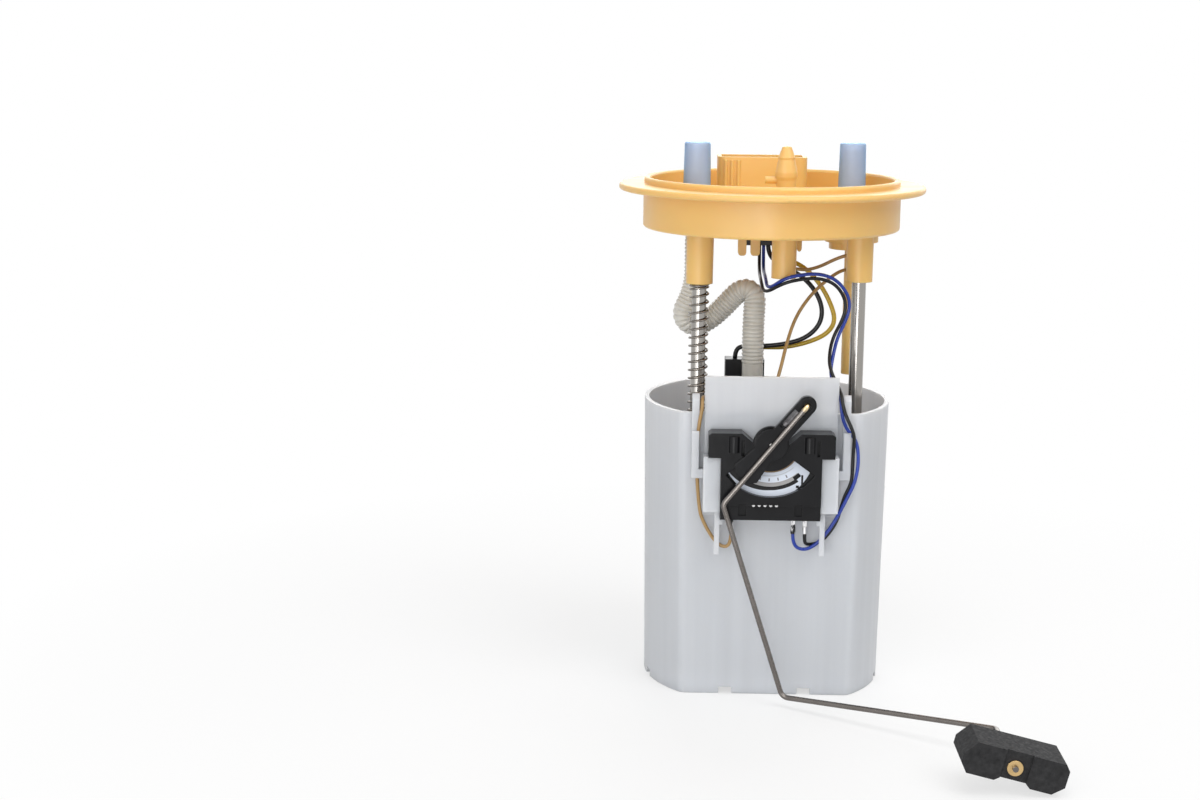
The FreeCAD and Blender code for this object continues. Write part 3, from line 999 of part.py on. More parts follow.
# Hose and wires along their hand-chosen routes
HOSE = [(-34.2, 5, 214), (-34.2, 5, 198), (-34.1, 4.8, 186), (-36.4, 4.5, 177.5), (-39.6, 4.6, 171),
        (-38.2, 5.6, 166), (-33.6, 7.2, 163.8), (-27, 8.6, 166.6), (-22.5, 8.4, 171.6), (-13.4, 5.8, 180.2),
        (-6.5, 3.1, 176.6), (-6.7, 3.1, 164), (-6.7, 3, 147.5), (-6.7, 3, 138.5)]
WIRES = {
    "sender_wire_blue": ("lead_radius", [
        (-1.7, 23, 200.4), (-1.7, 23, 194.2), (-2, 13, 189.4), (-2, -3.5, 187.4), (1.4, -16, 184.6),
        (9, -22.6, 188.6), (19.3, -20.6, 191.8), (29.3, -16.5, 187), (36.2, -14.5, 178.4), (37.3, -14.3, 170),
        (33.6, -18, 161.4), (28.6, -25, 153), (27, -31.5, 145), (30.4, -36.6, 139.6), (31, -41, 138),
        (30.95, -43.6, 134.6), (32, -43.55, 129), (34.3, -43.45, 124.7), (37, -43.5, 122), (38.7, -44.6, 118),
        (39, -46.5, 111.6), (38.6, -46.6, 106.6), (37.4, -46.6, 101), (34.8, -46.2, 95.2), (32.2, -45.9, 89.4),
        (29.6, -45.3, 84), (26.6, -45, 79), (22, -44.9, 73), (16.2, -45.4, 69.8), (10.7, -46, 72.2),
        (10.7, -46, 77.9)]),
    "sender_wire_black": ("lead_radius", [
        (-3.6, 23, 200.4), (-3.6, 23, 194.2), (-4, 13, 188.2), (-4, -4, 185.8), (0.6, -17.6, 182.4),
        (9.4, -24, 186.8), (19.6, -21.4, 189.6), (28, -17.4, 185.2), (34.3, -15.2, 177.6), (35.4, -14, 170),
        (32, -16.9, 162.2), (26.4, -23.6, 156.6), (27.4, -30.6, 150.4), (30.4, -36.6, 142.6), (31.05, -41.4, 141),
        (31.2, -44.6, 137.6), (32.6, -45.7, 132.6), (35.2, -46.8, 127.4), (36.8, -46.6, 123.2),
        (36.8, -46, 119.4), (36.7, -45, 114), (36.7, -44.9, 108.5), (36.6, -44.8, 103.4), (35.8, -44.7, 100),
        (33.6, -44.4, 95.2), (32.2, -43.8, 89.6), (30.9, -43.3, 84), (28.6, -43.1, 79.4), (24.6, -42.9, 74),
        (20.4, -42.9, 72.2), (16.6, -44.6, 72.6), (16, -46, 75), (16, -46, 77.9)]),
    "sender_wire_brown": ("lead_radius", [
        (3.4, 22.4, 200.4), (3.4, 22.4, 195.4), (9.2, 16, 191), (17, 10.4, 190), (24, 7.2, 192.4),
        (30.6, 5.6, 196.2), (36.6, 4.9, 198.4), (42.6, 4.8, 198.9), (45.8, 4.7, 196.8), (45.2, 4.6, 193.8), (41, 4.4, 192),
        (34.1, 4.2, 191.6), (27.2, 1.6, 187.4), (18.7, -3.4, 180.2), (11.6, -10, 170.7), (7.3, -19, 159.6),
        (4.5, -28, 150.2), (1.6, -33.2, 141.8), (-5, -34.6, 136.6), (-14.4, -34.7, 136), (-23.4, -34.8, 136.8),
        (-30.5, -36.2, 138.4), (-31.05, -41.2, 138.2), (-31.05, -43.4, 134), (-32.2, -43.45, 128),
        (-32.9, -43.45, 121), (-32.95, -43.45, 112), (-32.9, -43.45, 104), (-32.4, -43.5, 97), (-31.7, -43.8, 90),
        (-30.8, -44, 84.6), (-26.2, -44.3, 75.8), (-21.4, -44.6, 70.6), (-17.1, -46, 71.8), (-17.1, -46, 77.9)]),
    "pump_wire_black": ("pump_lead_radius", [
        (0.6, 26, 200.4), (0.6, 26, 195), (8, 20, 190.6), (15.6, 14.6, 187.4), (22.2, 11.8, 181),
        (26, 10.4, 172.6), (25, 10.2, 164.6), (18.6, 10.8, 158), (8.6, 11.8, 154.8), (-1.4, 12.8, 153.6),
        (-9.6, 13.8, 153.6), (-14.4, 14.5, 152), (-14.4, 14.5, 147.5)]),
    "pump_wire_yellow": ("pump_lead_radius", [
        (3.4, 29, 200.4), (3.4, 29, 195.6), (10.6, 22.4, 193.6), (17.8, 17, 190.6), (24.6, 14, 183.6),
        (29.6, 12.6, 175), (32.4, 12.2, 166.4), (29, 13.4, 160), (20.6, 14.8, 155.6), (9.8, 15.6, 152.8),
        (1, 17.4, 152.4), (-5.8, 18, 152.4), (-5.8, 18, 147.5)]),
}


def hose_and_wires():
    points = [Vector(*point) for point in HOSE]
    node(tube("hose", points, value("hose_radius"), value("hose_bore")), "feed_hose")
    for name, (radius, route) in WIRES.items():
        node(tube(name + "_tube", [Vector(*point) for point in route], value(radius)), name)


def check_and_export():
    doc.recompute()
    for item in doc.Objects:
        if {"Invalid", "Error"} & set(item.State):
            raise RuntimeError(f"{item.Label} failed: {item.State}")
    os.makedirs("parts", exist_ok=True)
    for item in nodes:
        if item.Shape.isNull() or not item.Shape.isValid() or not item.Shape.Solids:
            raise RuntimeError(f"{item.Label} has no valid solid")
    for item in nodes:
        item.Shape.exportStep(os.path.join("parts", item.Label + ".step"))
    print(len(nodes), "nodes written")


reservoir_cup()
inlet_valve()
sender_bracket()
sender_housing()
sender_card()
float_lever()
float_arm()
flange()
connector()
transit_caps()
guide_rods()
coil_spring()
pump_holder()
pump()
rotor()
hose_and_wires()
check_and_export()
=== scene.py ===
import json
import math

import bmesh
import bpy
from mathutils import Matrix, Vector


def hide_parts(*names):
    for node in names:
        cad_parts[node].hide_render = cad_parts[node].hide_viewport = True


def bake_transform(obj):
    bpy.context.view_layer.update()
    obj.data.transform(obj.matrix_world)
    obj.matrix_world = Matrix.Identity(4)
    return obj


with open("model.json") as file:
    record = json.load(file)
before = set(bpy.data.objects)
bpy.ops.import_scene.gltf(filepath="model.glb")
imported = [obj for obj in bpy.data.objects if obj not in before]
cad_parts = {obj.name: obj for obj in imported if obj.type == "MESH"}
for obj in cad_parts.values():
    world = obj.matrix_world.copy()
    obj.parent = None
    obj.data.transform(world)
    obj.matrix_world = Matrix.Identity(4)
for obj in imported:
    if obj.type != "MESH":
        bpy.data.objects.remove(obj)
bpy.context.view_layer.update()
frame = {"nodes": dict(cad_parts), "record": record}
nodes = frame["nodes"]
scene = bpy.context.scene
MM = 0.001


# Camera at the photograph's viewing angle, fitted in the CAD frame
def make_camera():
    data = bpy.data.cameras.new("camera")
    data.sensor_width = 36
    data.lens = 60
    data.clip_end = 20
    camera = bpy.data.objects.new("camera", data)
    scene.collection.objects.link(camera)
    right = Vector((0.999628895, 0.025246066, 0.010232732))
    up = Vector((-0.014781296, 0.187159197, 0.982218381))
    ahead = Vector((-0.022882001, 0.982005128, -0.187462911))
    turn = Matrix((right, up, -ahead)).transposed().to_4x4()
    place = Vector((-0.05637042, -0.92164824, 0.30492134))
    camera.matrix_world = Matrix.Translation(place) @ turn
    scene.camera = camera


# Cords: the routes of the CAD model's hose and wires, in millimetres until they are used
HOSE = [(-34.2, 5, 214), (-34.2, 5, 198), (-34.1, 4.8, 186), (-36.4, 4.5, 177.5), (-39.6, 4.6, 171),
        (-38.2, 5.6, 166), (-33.6, 7.2, 163.8), (-27, 8.6, 166.6), (-20.6, 8.2, 172.6), (-12.6, 5.4, 182.2),
        (-6, 3, 180.2), (-6.7, 3.1, 168), (-6.7, 3.1, 157), (-6.7, 3, 147.5), (-6.7, 3, 138.5)]
WIRES = {
    "sender_wire_blue": [
        (-1.7, 23, 200.4), (-1.7, 23, 194.2), (-2, 13, 189.4), (-2, -3.5, 188.4), (-1.6, -15, 184.2),
        (5, -24, 190.4), (12, -23.6, 192.2), (21, -20, 192.6), (29.4, -16.8, 189.6), (35.2, -14.8, 182.4),
        (36.2, -14.4, 176), (34, -14.8, 169.4), (30.6, -18, 163.2), (28.2, -25, 156.2), (26.4, -31, 147.6),
        (30.4, -36.6, 139.6), (31, -41, 138), (30.95, -43.6, 134.6), (32, -43.55, 129),
        (34.3, -43.45, 124.7), (37, -43.5, 122), (38.7, -44.6, 118), (39, -46.5, 111.6),
        (38.6, -46.6, 106.6), (37.4, -46.6, 101), (34.8, -46.2, 95.2), (32.2, -45.9, 89.4),
        (29.6, -45.3, 84), (26.6, -45, 79), (22, -44.9, 73), (16.2, -45.4, 69.8), (10.7, -46, 72.2),
        (10.7, -46, 77.9)],
    "sender_wire_black": [
        (-3.6, 23, 200.4), (-3.6, 23, 194.2), (-4, 13, 188.6), (-4, -4, 186.6), (-3.2, -14.6, 182.2),
        (4.6, -23.4, 188.2), (12, -23, 190.1), (21, -19.6, 190.5), (28.6, -17.2, 187.8),
        (33.4, -15.4, 181.6), (34.3, -15.2, 175.6), (32.2, -15.4, 169.4), (28.9, -17.6, 163.8),
        (26.6, -24.2, 157.8), (26.2, -30.4, 150.8), (30.4, -36.6, 142.6), (31.05, -41.4, 141),
        (31.2, -44.6, 137.6), (32.6, -45.7, 132.6), (35.2, -46.8, 127.4), (36.8, -46.6, 123.2),
        (36.8, -46, 119.4), (36.7, -45, 114), (36.7, -44.9, 108.5), (36.6, -44.8, 103.4),
        (35.8, -44.7, 100), (33.6, -44.4, 95.2), (32.2, -43.8, 89.6), (30.9, -43.3, 84),
        (28.6, -43.1, 79.4), (24.6, -42.9, 74), (20.4, -42.9, 72.2), (16.6, -44.6, 72.6), (16, -46, 75),
        (16, -46, 77.9)],
    "sender_wire_brown": [
        (3.4, 22.4, 200.4), (3.4, 22.4, 195.4), (9.2, 16, 191), (17, 10.4, 190), (24, 7.2, 192.4),
        (30.6, 5.6, 196.2), (36.6, 4.9, 198.4), (42.6, 4.8, 198.9), (45.8, 4.7, 196.8), (45.2, 4.6, 193.8),
        (41, 4.4, 192), (34.1, 4.2, 191.6), (27.2, 1.6, 187.4), (18.7, -3.4, 180.2), (11.6, -10, 170.7),
        (7.3, -19, 159.6), (4.5, -28, 150.2), (1.6, -33.2, 141.8), (-5, -34.6, 136.6), (-14.4, -34.7, 136),
        (-23.4, -34.8, 136.8), (-30.5, -36.2, 138.4), (-31.05, -41.2, 138.2), (-31.05, -43.4, 134),
        (-32.2, -43.45, 128), (-32.9, -43.45, 121), (-32.95, -43.45, 112), (-32.9, -43.45, 104),
        (-32.4, -43.5, 97), (-31.7, -43.8, 90), (-30.8, -44, 84.6), (-26.2, -44.3, 75.8),
        (-21.4, -44.6, 70.6), (-17.1, -46, 71.8), (-17.1, -46, 77.9)],
    "pump_wire_black": [
        (0.6, 26, 200.4), (0.6, 26, 195), (8, 20, 190.6), (15.6, 14.6, 187.4), (22.2, 11.8, 181),
        (26, 10.4, 172.6), (25, 10.2, 164.6), (18.6, 10.8, 158), (8.6, 11.8, 154.8), (-1.4, 12.8, 153.6),
        (-9.6, 13.8, 153.6), (-14.4, 14.5, 152), (-14.4, 14.5, 147.5)],
    "pump_wire_yellow": [
        (3.4, 29, 200.4), (3.4, 29, 195.6), (10.6, 22.4, 193.6), (17.8, 17, 190.6), (24.6, 14, 183.6),
        (29.6, 12.6, 175), (32.4, 12.2, 166.4), (29, 13.4, 160), (20.6, 14.8, 155.6), (9.8, 15.6, 152.8),
        (1, 17.4, 152.4), (-5.8, 18, 152.4), (-5.8, 18, 147.5)],
}


def metres(points):
    return [Vector(point) * MM for point in points]


def spline_line(name, points):
    """The points that Blender gives for the route's NURBS spline."""
    curve = bpy.data.curves.new(name + "_route", "CURVE")
    curve.dimensions = "3D"
    curve.resolution_u = 24
    spline = curve.splines.new("NURBS")
    spline.points.add(len(points) - 1)
    for spot, point in zip(spline.points, points):
        spot.co = (*point, 1)
    spline.order_u = 3
    spline.use_endpoint_u = True
    item = bpy.data.objects.new(name + "_route", curve)
    scene.collection.objects.link(item)
    bpy.context.view_layer.update()
    mesh = bpy.data.meshes.new_from_object(item.evaluated_get(bpy.context.evaluated_depsgraph_get()))
    line = [vertex.co.copy() for vertex in mesh.vertices]
    bpy.data.objects.remove(item)
    bpy.data.curves.remove(curve)
    bpy.data.meshes.remove(mesh)
    return line


def evenly(line, step):
    """Walk a line of points in even steps; returns the points and the length."""
    total = sum((b - a).length for a, b in zip(line, line[1:]))
    count = max(2, round(total / step))
    gap = total / count
    out, walked, want = [line[0]], 0.0, gap
    for a, b in zip(line, line[1:]):
        run = (b - a).length
        while want <= walked + run + 1e-9 and len(out) < count:
            out.append(a.lerp(b, (want - walked) / run))
            want += gap
        walked += run
    out.append(line[-1])
    return out, total


def rings_along(line, radii, sides):
    """Rings of points round a line, turned as little as possible from one to the next."""
    ahead = (line[1] - line[0]).normalized()
    across = ahead.orthogonal().normalized()
    rings = []
    for index, spot in enumerate(line):
        before, after = line[max(index - 1, 0)], line[min(index + 1, len(line) - 1)]
        heading = (after - before).normalized()
        across = (across - heading * across.dot(heading)).normalized()
        other = heading.cross(across)
        rings.append([spot + (across * math.cos(a) + other * math.sin(a)) * radii[index]
                      for a in (2 * math.pi * k / sides for k in range(sides))])
    return rings


def skin(name, rings, closed_ends=True):
    """A mesh over rings of equal count, with a flat cap on each end."""
    mesh = bpy.data.meshes.new(name)
    made = bmesh.new()
    layers = [[made.verts.new(point) for point in ring] for ring in rings]
    sides = len(rings[0])
    for low, high in zip(layers, layers[1:]):
        for k in range(sides):
            made.faces.new((low[k], low[(k + 1) % sides], high[(k + 1) % sides], high[k])).smooth = True
    if closed_ends:
        made.faces.new(reversed(layers[0]))
        made.faces.new(layers[-1])
    bmesh.ops.recalc_face_normals(made, faces=made.faces)
    made.to_mesh(mesh)
    made.free()
    item = bpy.data.objects.new(name, mesh)
    scene.collection.objects.link(item)
    return item


def make_wires(finishes):
    wire_radius = {"sender": 0.8, "pump": 1.1}
    step, sides = 1.2 * MM, 14
    for name, points in WIRES.items():
        radius = wire_radius[name.split("_")[0]] * MM
        line, length = evenly(spline_line(name, metres(points)), step)
        wire = skin(name + "_lead", rings_along(line, [radius] * len(line), sides))
        wire.data.materials.append(finishes[name])
        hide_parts(name)
        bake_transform(wire)


def make_hose(finish):
    """A tube with ribs between two plain ends."""
    outer, valley, plain = 5.2 * MM, 4.72 * MM, 4.9 * MM
    pitch, rib_shape = 1.8 * MM, 0.6
    plain_end, run_in = 8 * MM, 1.2 * MM
    step, sides = 0.15 * MM, 30
    line, length = evenly(spline_line("feed_hose", metres(HOSE)), step)
    radii = []
    for index in range(len(line)):
        walked = length * index / (len(line) - 1)
        edge = min(walked, length - walked)
        wave = 0.5 - 0.5 * math.cos(2 * math.pi * walked / pitch)
        ribbed = valley + (outer - valley) * wave ** rib_shape
        mix = min(max((edge - plain_end) / run_in, 0), 1)
        radii.append(plain + (ribbed - plain) * mix)
    hose = skin("corrugated_hose", rings_along(line, radii, sides))
    hose.data.materials.append(finish)
    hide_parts("feed_hose")
    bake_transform(hose)


def make_spring(finish):
    """Round wire on the helix of the CAD model's spring, closed at both ends."""
    centre_x, centre_y, bottom, top = -32.8, -18, 114.5, 187.2
    radius, half, turns, closed, steps = 4.1, 0.5, 21, 1.25, 40
    closed_rise = 2.2 * half
    low, high = bottom + half, top - half
    line = []
    for step in range(turns * steps + 1):
        turn = step / steps
        rise = min(max((turn - closed) / (turns - 2 * closed), 0), 1)
        height = low + (high - low - 2 * closed * closed_rise) * rise
        height += closed_rise * (min(turn, closed) + max(0, turn - turns + closed))
        angle = 2 * math.pi * turn
        across, back = radius * math.cos(angle), radius * math.sin(angle)
        line.append(Vector((centre_x + across, centre_y + back, height)) * MM)
    spring = skin("guide_spring", rings_along(line, [half * MM] * len(line), 12))
    spring.data.materials.append(finish)
    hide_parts("coil_spring")
    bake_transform(spring)


# Materials
INK = (0.012, 0.012, 0.013)
BAND_GREY = (0.36, 0.355, 0.36)
HUB_X, HUB_Z = -0.5, 120.2
LEVER_TURN = math.radians(40.2)


def link(tree, kind, inputs=(), **settings):
    """Add a node, set its values and link what is a socket."""
    made = tree.nodes.new("ShaderNode" + kind)
    for name, setting in settings.items():
        setattr(made, name, setting)
    for name, given in dict(inputs).items():
        socket = made.inputs[name]
        if isinstance(given, bpy.types.NodeSocket):
            tree.links.new(given, socket)
        else:
            socket.default_value = given
    return made


def stretched(tree, stretch):
    where = link(tree, "TexCoord").outputs["Object"]
    return link(tree, "Mapping", {"Vector": where, "Scale": stretch}).outputs["Vector"]


def noise(tree, scale, detail=3, stretch=(1, 1, 1), rough=0.5):
    made = link(tree, "TexNoise", {"Vector": stretched(tree, stretch), "Scale": scale, "Detail": detail,
                                   "Roughness": rough})
    return made.outputs["Fac"]


def ramp(tree, fac, stops):
    made = link(tree, "ValToRGB", {"Fac": fac})
    steps = made.color_ramp.elements
    while len(steps) < len(stops):
        steps.new(0.5)
    for step, (place, colour) in zip(steps, stops):
        step.position = place
        step.color = (*colour, 1)
    return made.outputs["Color"]


def spread(tree, fac, low, high, start=0.3, stop=0.7):
    made = link(tree, "MapRange", {"Value": fac, "From Min": start, "From Max": stop, "To Min": low,
                                   "To Max": high})
    return made.outputs["Result"]


def shade(colour, factor):
    return tuple(min(1, part * factor) for part in colour)


def finish_of(name, colour, roughness, tone=0.05, tone_scale=60, grain=900, grain_depth=0.00002,
              stretch=(1, 1, 1), scratch=0, edge=0.0003, **sockets):
    """A finish with blotches of tone, uneven gloss, a fine grain, optional scratches and softened edges."""
    made = bpy.data.materials.new(name)
    made.use_nodes = True
    tree = made.node_tree
    shader = tree.nodes["Principled BSDF"]
    blotch = noise(tree, tone_scale, 4, stretch)
    tree.links.new(ramp(tree, blotch, [(0.3, shade(colour, 1 - tone)), (0.7, shade(colour, 1 + tone))]),
                   shader.inputs["Base Color"])
    gloss = noise(tree, tone_scale * 2.3, 5, stretch)
    tree.links.new(spread(tree, gloss, roughness * 0.85, min(1, roughness * 1.2)), shader.inputs["Roughness"])
    height = noise(tree, grain, 2, stretch)
    soft = link(tree, "Bevel", {"Radius": edge}, samples=4).outputs["Normal"]
    bump = link(tree, "Bump", {"Height": height, "Strength": 0.5, "Distance": grain_depth, "Normal": soft})
    if scratch:
        lines = noise(tree, 260, 2, (1, 1, 0.04), 0.7)
        fine = spread(tree, lines, 0, 1, 0.62, 0.7)
        bump = link(tree, "Bump", {"Height": fine, "Strength": scratch, "Distance": 0.00005,
                                   "Normal": bump.outputs["Normal"]})
    tree.links.new(bump.outputs["Normal"], shader.inputs["Normal"])
    for socket, given in sockets.items():
        shader.inputs[socket.replace("_", " ")].default_value = given
    return made


def sums(tree, operation, *given):
    return link(tree, "Math", dict(enumerate(given)), operation=operation).outputs[0]


def within(tree, given, low, high):
    """1 where a value lies between two others, and 0 elsewhere."""
    return sums(tree, "COMPARE", given, (low + high) / 2, (high - low) / 2)


def every(tree, first, *others):
    for other in others:
        first = sums(tree, "MULTIPLY", first, other)
    return first


def round_hub(tree, turn=0.0):
    """Millimetres right of the arm's pivot and above it, after a turn.

    The radius and the angle from straight down follow.
    """
    parts = link(tree, "SeparateXYZ", {0: link(tree, "TexCoord").outputs["Object"]}).outputs
    x = sums(tree, "MULTIPLY_ADD", parts["X"], 1 / MM, -HUB_X)
    z = sums(tree, "MULTIPLY_ADD", parts["Z"], 1 / MM, -HUB_Z)
    c, s = math.cos(turn), math.sin(turn)
    u = sums(tree, "SUBTRACT", sums(tree, "MULTIPLY", x, c), sums(tree, "MULTIPLY", z, s))
    v = sums(tree, "ADD", sums(tree, "MULTIPLY", x, s), sums(tree, "MULTIPLY", z, c))
    squares = sums(tree, "ADD", sums(tree, "MULTIPLY", x, x), sums(tree, "MULTIPLY", z, z))
    radius = sums(tree, "SQRT", squares)
    angle = sums(tree, "DEGREES", sums(tree, "ARCTAN2", u, sums(tree, "MULTIPLY", v, -1)))
    return u, v, radius, angle


def repaint(made, marks):
    """Lay each mark's colour over the finish's own where the mark's mask is 1."""
    tree = made.node_tree
    socket = tree.nodes["Principled BSDF"].inputs["Base Color"]
    for mask, colour in marks:
        mix = link(tree, "Mix", data_type="RGBA")
        tree.links.new(mask, mix.inputs[0])
        tree.links.new(socket.links[0].from_socket, mix.inputs[6])
        mix.inputs[7].default_value = (*colour, 1)
        tree.links.new(mix.outputs[2], socket)


def draw_card(made):
    """The printed scale: ticks, the grey band, the black arc, ends and stop bars, and a brown line round the
    hub that is a painted reflection.
    """
    tree = made.node_tree
    x, z, radius, angle = round_hub(tree)
    tick_pitch, tick_start = 13.4, 149.3
    place_in_pitch = sums(tree, "MODULO", sums(tree, "ADD", angle, tick_start), tick_pitch)
    arc_edge = sums(tree, "MULTIPLY_ADD", sums(tree, "MINIMUM", angle, 0), -0.02, 21.8)
    left_edge = sums(tree, "MULTIPLY_ADD", angle, 0.05, 25.9)
    right_edge = sums(tree, "MULTIPLY_ADD", angle, -0.09, 27)
    inside_arc_edge = sums(tree, "LESS_THAN", radius, arc_edge)
    ticks = every(tree, within(tree, radius, 16.3, 17.7), within(tree, place_in_pitch, 0, 2),
                  within(tree, angle, -17, 29))
    # painted reflection: a thin brown line round the hub disc's edge
    hub_rim_reflection = within(tree, radius, 12.4, 13.7)
    grey_band = every(tree, within(tree, radius, 18.3, 20.2), within(tree, angle, -40, 42))
    black_arc = every(tree, within(tree, radius, 20.1, 26), inside_arc_edge, within(tree, angle, -80, 36))
    left_end = every(tree, inside_arc_edge, within(tree, angle, -80, -34))
    left_corner = every(tree, sums(tree, "GREATER_THAN", radius, left_edge), within(tree, angle, -80, -38))
    right_corner = every(tree, sums(tree, "GREATER_THAN", radius, right_edge), within(tree, angle, 28, 80))
    stop_bar = every(tree, within(tree, x, 14, 14.9), within(tree, z, -19.4, -14.6))
    stop_foot = every(tree, within(tree, x, 11.7, 13.1), within(tree, z, -20.6, -19.4))
    black = (black_arc, left_end, left_corner, right_corner, stop_bar, stop_foot)
    repaint(made, [(ticks, (0.2, 0.2, 0.21)), (hub_rim_reflection, (0.22, 0.15, 0.09)), (grey_band, BAND_GREY)])
    repaint(made, [(mark, INK) for mark in black])


def draw_tracks(made):
    """Shows the outer track as the grey band and the inner one as pale silver."""
    tree = made.node_tree
    radius, angle = round_hub(tree)[2:]
    outer_track = every(tree, within(tree, radius, 17, 20.1), within(tree, angle, -40, 33))
    inner_track = within(tree, radius, 10, 17)
    repaint(made, [(outer_track, BAND_GREY), (inner_track, (0.58, 0.6, 0.64))])


def draw_lever(made):
    """A paler, streaked patch on the bottom of the lever's pocket."""
    tree = made.node_tree
    x, z = round_hub(tree, LEVER_TURN)[:2]
    streaks = spread(tree, noise(tree, 500, 4), 0.35, 1)
    inside = every(tree, within(tree, x, -3.1, 0.4), within(tree, z, 10.5, 18.9))
    repaint(made, [(every(tree, inside, streaks), (0.27, 0.26, 0.27))])


def paint_pin_highlight(made):
    """Darkens the pin's head round its middle, so that the pale middle shows as a painted highlight."""
    tree = made.node_tree
    # painted highlight: only the middle of the pin's head keeps the pale colour
    outside = within(tree, round_hub(tree)[2], 0.85, 5)
    repaint(made, [(outside, (0.03, 0.03, 0.03))])


def draw_pads(made):
    """Darkens the upper half of each test pad, which shows as a half round."""
    tree = made.node_tree
    upper_half = within(tree, round_hub(tree)[1], -28, -20)
    repaint(made, [(upper_half, (0.02, 0.02, 0.02))])


def paint_wire_end_highlight(made):
    """A painted warm highlight on the end of the arm wire in the lever."""
    tree = made.node_tree
    along_lever = round_hub(tree, LEVER_TURN)[1]
    # painted highlight: the wire turns brass yellow towards its end in the lever
    repaint(made, [(spread(tree, along_lever, 0, 1, 20.5, 23), (0.8, 0.62, 0.36))])


def draw_terminals(made):
    """Dark spots on the crimps."""
    tree = made.node_tree
    spots = spread(tree, noise(tree, 420, 3, (1, 1, 0.5)), 0, 1, 0.56, 0.6)
    repaint(made, [(spots, (0.03, 0.03, 0.03))])


def make_finishes():
    """One finish for each material slot of the record, some with marks drawn on them."""
    finishes = {}

    def add(name, *look, **sockets):
        finishes[name] = finish_of(name, *look, **sockets)

    steel = {"Metallic": 1.0}
    dull = {"Specular_IOR_Level": 0.3}
    add("white_plastic", (0.595, 0.615, 0.65), 0.4, 0.03, 160, 700, 0.00003, (1, 1, 0.03), scratch=0.2,
        Subsurface_Weight=0.8, Subsurface_Scale=0.01, Subsurface_Radius=(1, 0.95, 0.9))
    add("amber_plastic", (0.82, 0.52, 0.17), 0.36, 0.03, 30, 900, edge=0.0005,
        Subsurface_Weight=0.3, Subsurface_Scale=0.004, Subsurface_Radius=(1, 0.5, 0.2))
    add("sender_black", (0.007, 0.007, 0.008), 0.18, 0.2, 80, 1200, edge=0.0005, Specular_IOR_Level=0.2)
    add("card_ceramic", (0.66, 0.71, 0.8), 0.4, 0.02, 60, 1500, 0.00001, Specular_IOR_Level=0.2)
    add("track_carbon", (0.009, 0.009, 0.01), 0.5, 0.2, 200, 2500, Specular_IOR_Level=0.15)
    add("silver_contact", (0.5, 0.5, 0.5), 0.45, 0.08, 300, 3000, **steel)
    add("terminal_tin", (0.6, 0.6, 0.61), 0.32, 0.1, 300, 3000, **steel)
    add("pin_steel", (0.78, 0.77, 0.74), 0.22, 0.05, 300, 3000, Metallic=0.3)
    add("plug_black", (0.01, 0.01, 0.011), 0.4, 0.2, 80, 1200, **dull)
    add("cap_blue", (0.7, 0.71, 0.83), 0.33, 0.03, 60, 900, Transmission_Weight=0.3, IOR=1.4,
        Subsurface_Weight=0.4, Subsurface_Scale=0.004, Subsurface_Radius=(0.8, 0.9, 1),
        Coat_Weight=1.0, Coat_IOR=1.06, Coat_Roughness=0.3, Coat_Tint=(0.74, 0.88, 1, 1))
    add("rod_steel", (0.34, 0.325, 0.305), 0.2, 0.06, 200, 2600, 0.000006, (1, 1, 0.1), **steel)
    add("bush_plastic", (0.5, 0.48, 0.43), 0.4, 0.05)
    add("clip_steel", (0.3, 0.29, 0.28), 0.35, 0.1, 300, 3000, **steel)
    add("spring_steel", (0.22, 0.2, 0.18), 0.24, 0.15, 300, 3000, **steel)
    add("wire_steel", (0.17, 0.155, 0.145), 0.26, 0.08, 150, 2500, 0.000003, **steel)
    add("wiper_brass", (0.6, 0.42, 0.2), 0.3, 0.08, 300, 3000, **steel)
    add("float_foam", (0.02, 0.02, 0.021), 0.8, 0.3, 300, 900, 0.0002, **dull)
    add("damper_rubber", (0.015, 0.015, 0.015), 0.6, 0.2)
    add("can_steel", (0.56, 0.56, 0.55), 0.3, 0.05, 200, 2500, 0.00001, **steel)
    add("pump_black", (0.01, 0.01, 0.011), 0.36, 0.2, 80, 1200, **dull)
    add("cover_aluminium", (0.7, 0.7, 0.71), 0.4, 0.06, 200, 2500, **steel)
    add("strainer_cloth", (0.5, 0.48, 0.4), 0.8, 0.1, 800, 3500, 0.0002)
    add("magnet_ferrite", (0.03, 0.028, 0.028), 0.6, 0.2)
    add("armature_steel", (0.35, 0.34, 0.34), 0.4, 0.1, 200, 2500, **steel)
    add("commutator_copper", (0.72, 0.35, 0.2), 0.3, 0.1, 200, 2500, **steel)
    add("brush_carbon", (0.02, 0.02, 0.021), 0.6, 0.2)
    add("impeller_plastic", (0.2, 0.13, 0.06), 0.4, 0.05)
    add("valve_rubber", (0.02, 0.02, 0.02), 0.6, 0.2)
    add("screen_plastic", (0.6, 0.62, 0.62), 0.45, 0.05)
    add("hose_plastic", (0.62, 0.6, 0.55), 0.33, 0.06, 150, 900, edge=0,
        Subsurface_Weight=0.8, Subsurface_Scale=0.004, Subsurface_Radius=(1, 0.95, 0.85))
    add("insulation_blue", (0.008, 0.035, 0.3), 0.3, 0.1, 200, 2500, edge=0)
    add("insulation_black", (0.009, 0.009, 0.01), 0.3, 0.2, 200, 2500, edge=0, **dull)
    add("insulation_brown", (0.36, 0.22, 0.08), 0.34, 0.1, 200, 2500, edge=0)
    add("insulation_yellow", (0.6, 0.4, 0.03), 0.32, 0.08, 200, 2500, edge=0)
    for name, draw in (("sender_black", draw_lever), ("card_ceramic", draw_card), ("track_carbon", draw_tracks),
                       ("silver_contact", draw_pads), ("terminal_tin", draw_terminals), ("pin_steel", paint_pin_highlight),
                       ("wire_steel", paint_wire_end_highlight)):
        draw(finishes[name])
    return finishes


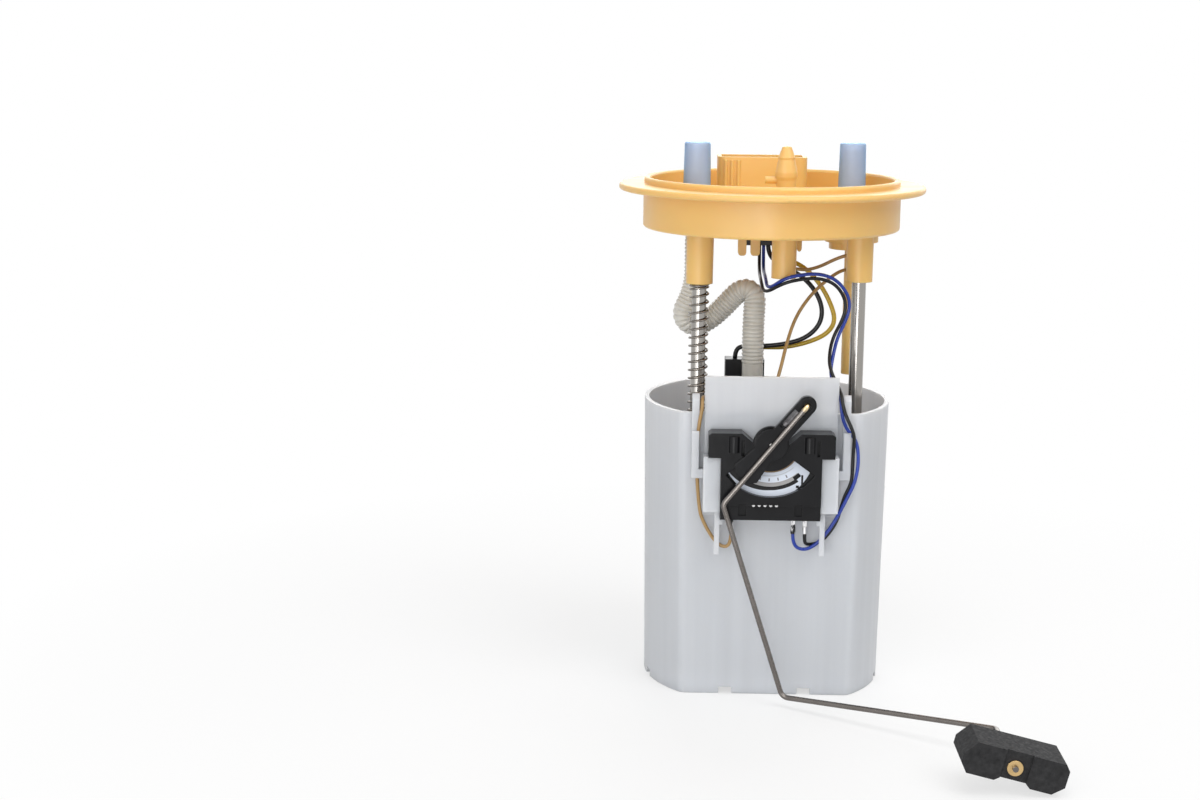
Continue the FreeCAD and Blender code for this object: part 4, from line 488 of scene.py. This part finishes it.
def dress_nodes(finishes):
    slots = {part["node"]: part["material_slot"] for part in frame["record"]["subparts"]}
    for name, item in nodes.items():
        item.data.materials.clear()
        item.data.materials.append(finishes[slots[name]])
    return slots


# Floor, lamps and surroundings
def seen(tree):
    """1 for what the camera sees straight, in gloss or through glass."""
    path = link(tree, "LightPath").outputs
    straight = sums(tree, "MAXIMUM", path["Is Camera Ray"], path["Is Transmission Ray"])
    return sums(tree, "MAXIMUM", straight, path["Is Glossy Ray"])


def make_floor():
    """A round pale floor that keeps the object's shadow and turns into the white background outwards."""
    mesh = bpy.data.meshes.new("floor")
    made = bmesh.new()
    bmesh.ops.create_circle(made, cap_ends=True, radius=0.5, segments=96)
    made.to_mesh(mesh)
    made.free()
    floor = bpy.data.objects.new("floor", mesh)
    floor.location = (0, 0.1, -0.0003)
    scene.collection.objects.link(floor)
    paint = bpy.data.materials.new("floor_paint")
    paint.use_nodes = True
    tree = paint.node_tree
    shader = tree.nodes["Principled BSDF"]
    shader.inputs["Base Color"].default_value = (0.82, 0.82, 0.82, 1)
    shader.inputs["Roughness"].default_value = 0.7
    glow = link(tree, "Emission", {"Color": (1, 1, 1, 1), "Strength": 1.0})
    place = link(tree, "Mapping", {"Vector": link(tree, "TexCoord").outputs["Object"],
                                   "Location": (0, 0.1, 0)}).outputs["Vector"]
    far = link(tree, "VectorMath", {0: place}, operation="LENGTH").outputs["Value"]
    fade = spread(tree, far, 0.6, 1.0, 0.12, 0.4)
    mix = link(tree, "MixShader", {"Fac": sums(tree, "MULTIPLY", seen(tree), fade), 1: shader.outputs[0],
                                   2: glow.outputs[0]})
    tree.links.new(mix.outputs[0], tree.nodes["Material Output"].inputs["Surface"])
    mesh.materials.append(paint)


def make_world():
    """White wherever it is seen, and a plain soft light on the object."""
    light_level, white = 0.32, 1.0
    world = bpy.data.worlds.new("studio")
    scene.world = world
    world.use_nodes = True
    tree = world.node_tree
    backdrop = tree.nodes["Background"]
    backdrop.inputs["Color"].default_value = (1, 1, 1, 1)
    level = link(tree, "MapRange", {"Value": seen(tree), "To Min": light_level, "To Max": white})
    tree.links.new(level.outputs["Result"], backdrop.inputs["Strength"])


# Each lamp's place, width and height in metres, and power in watts
LAMPS = {
    "key": ((-0.6, -1.2, 0.5), 1.1, 1.5, 9.3),
    "strip": ((-0.18, -1.25, 0.05), 0.22, 0.5, 2.2),
    "top": ((0.15, -0.3, 1.3), 1.0, 0.8, 6),
    "fill": ((0.75, -0.75, 1.15), 0.8, 0.8, 6),
    "back": ((0.2, 1.1, 0.7), 1.2, 1.0, 7),
}


def make_lamps():
    lit = Vector((0, 0, 0.12))
    for name, (spot, width, height, power) in LAMPS.items():
        lamp = bpy.data.lights.new(name, "AREA")
        lamp.shape = "RECTANGLE"
        lamp.size = width
        lamp.size_y = height
        lamp.energy = power
        item = bpy.data.objects.new(name, lamp)
        item.location = spot
        item.rotation_euler = (lit - item.location).to_track_quat("-Z", "Y").to_euler()
        scene.collection.objects.link(item)


make_camera()
finishes = make_finishes()
slots = dress_nodes(finishes)
make_wires({name: finishes[slots[name]] for name in WIRES})
make_hose(finishes["hose_plastic"])
make_spring(finishes["spring_steel"])
make_floor()
make_world()
make_lamps()
scene.view_settings.view_transform = "Standard"
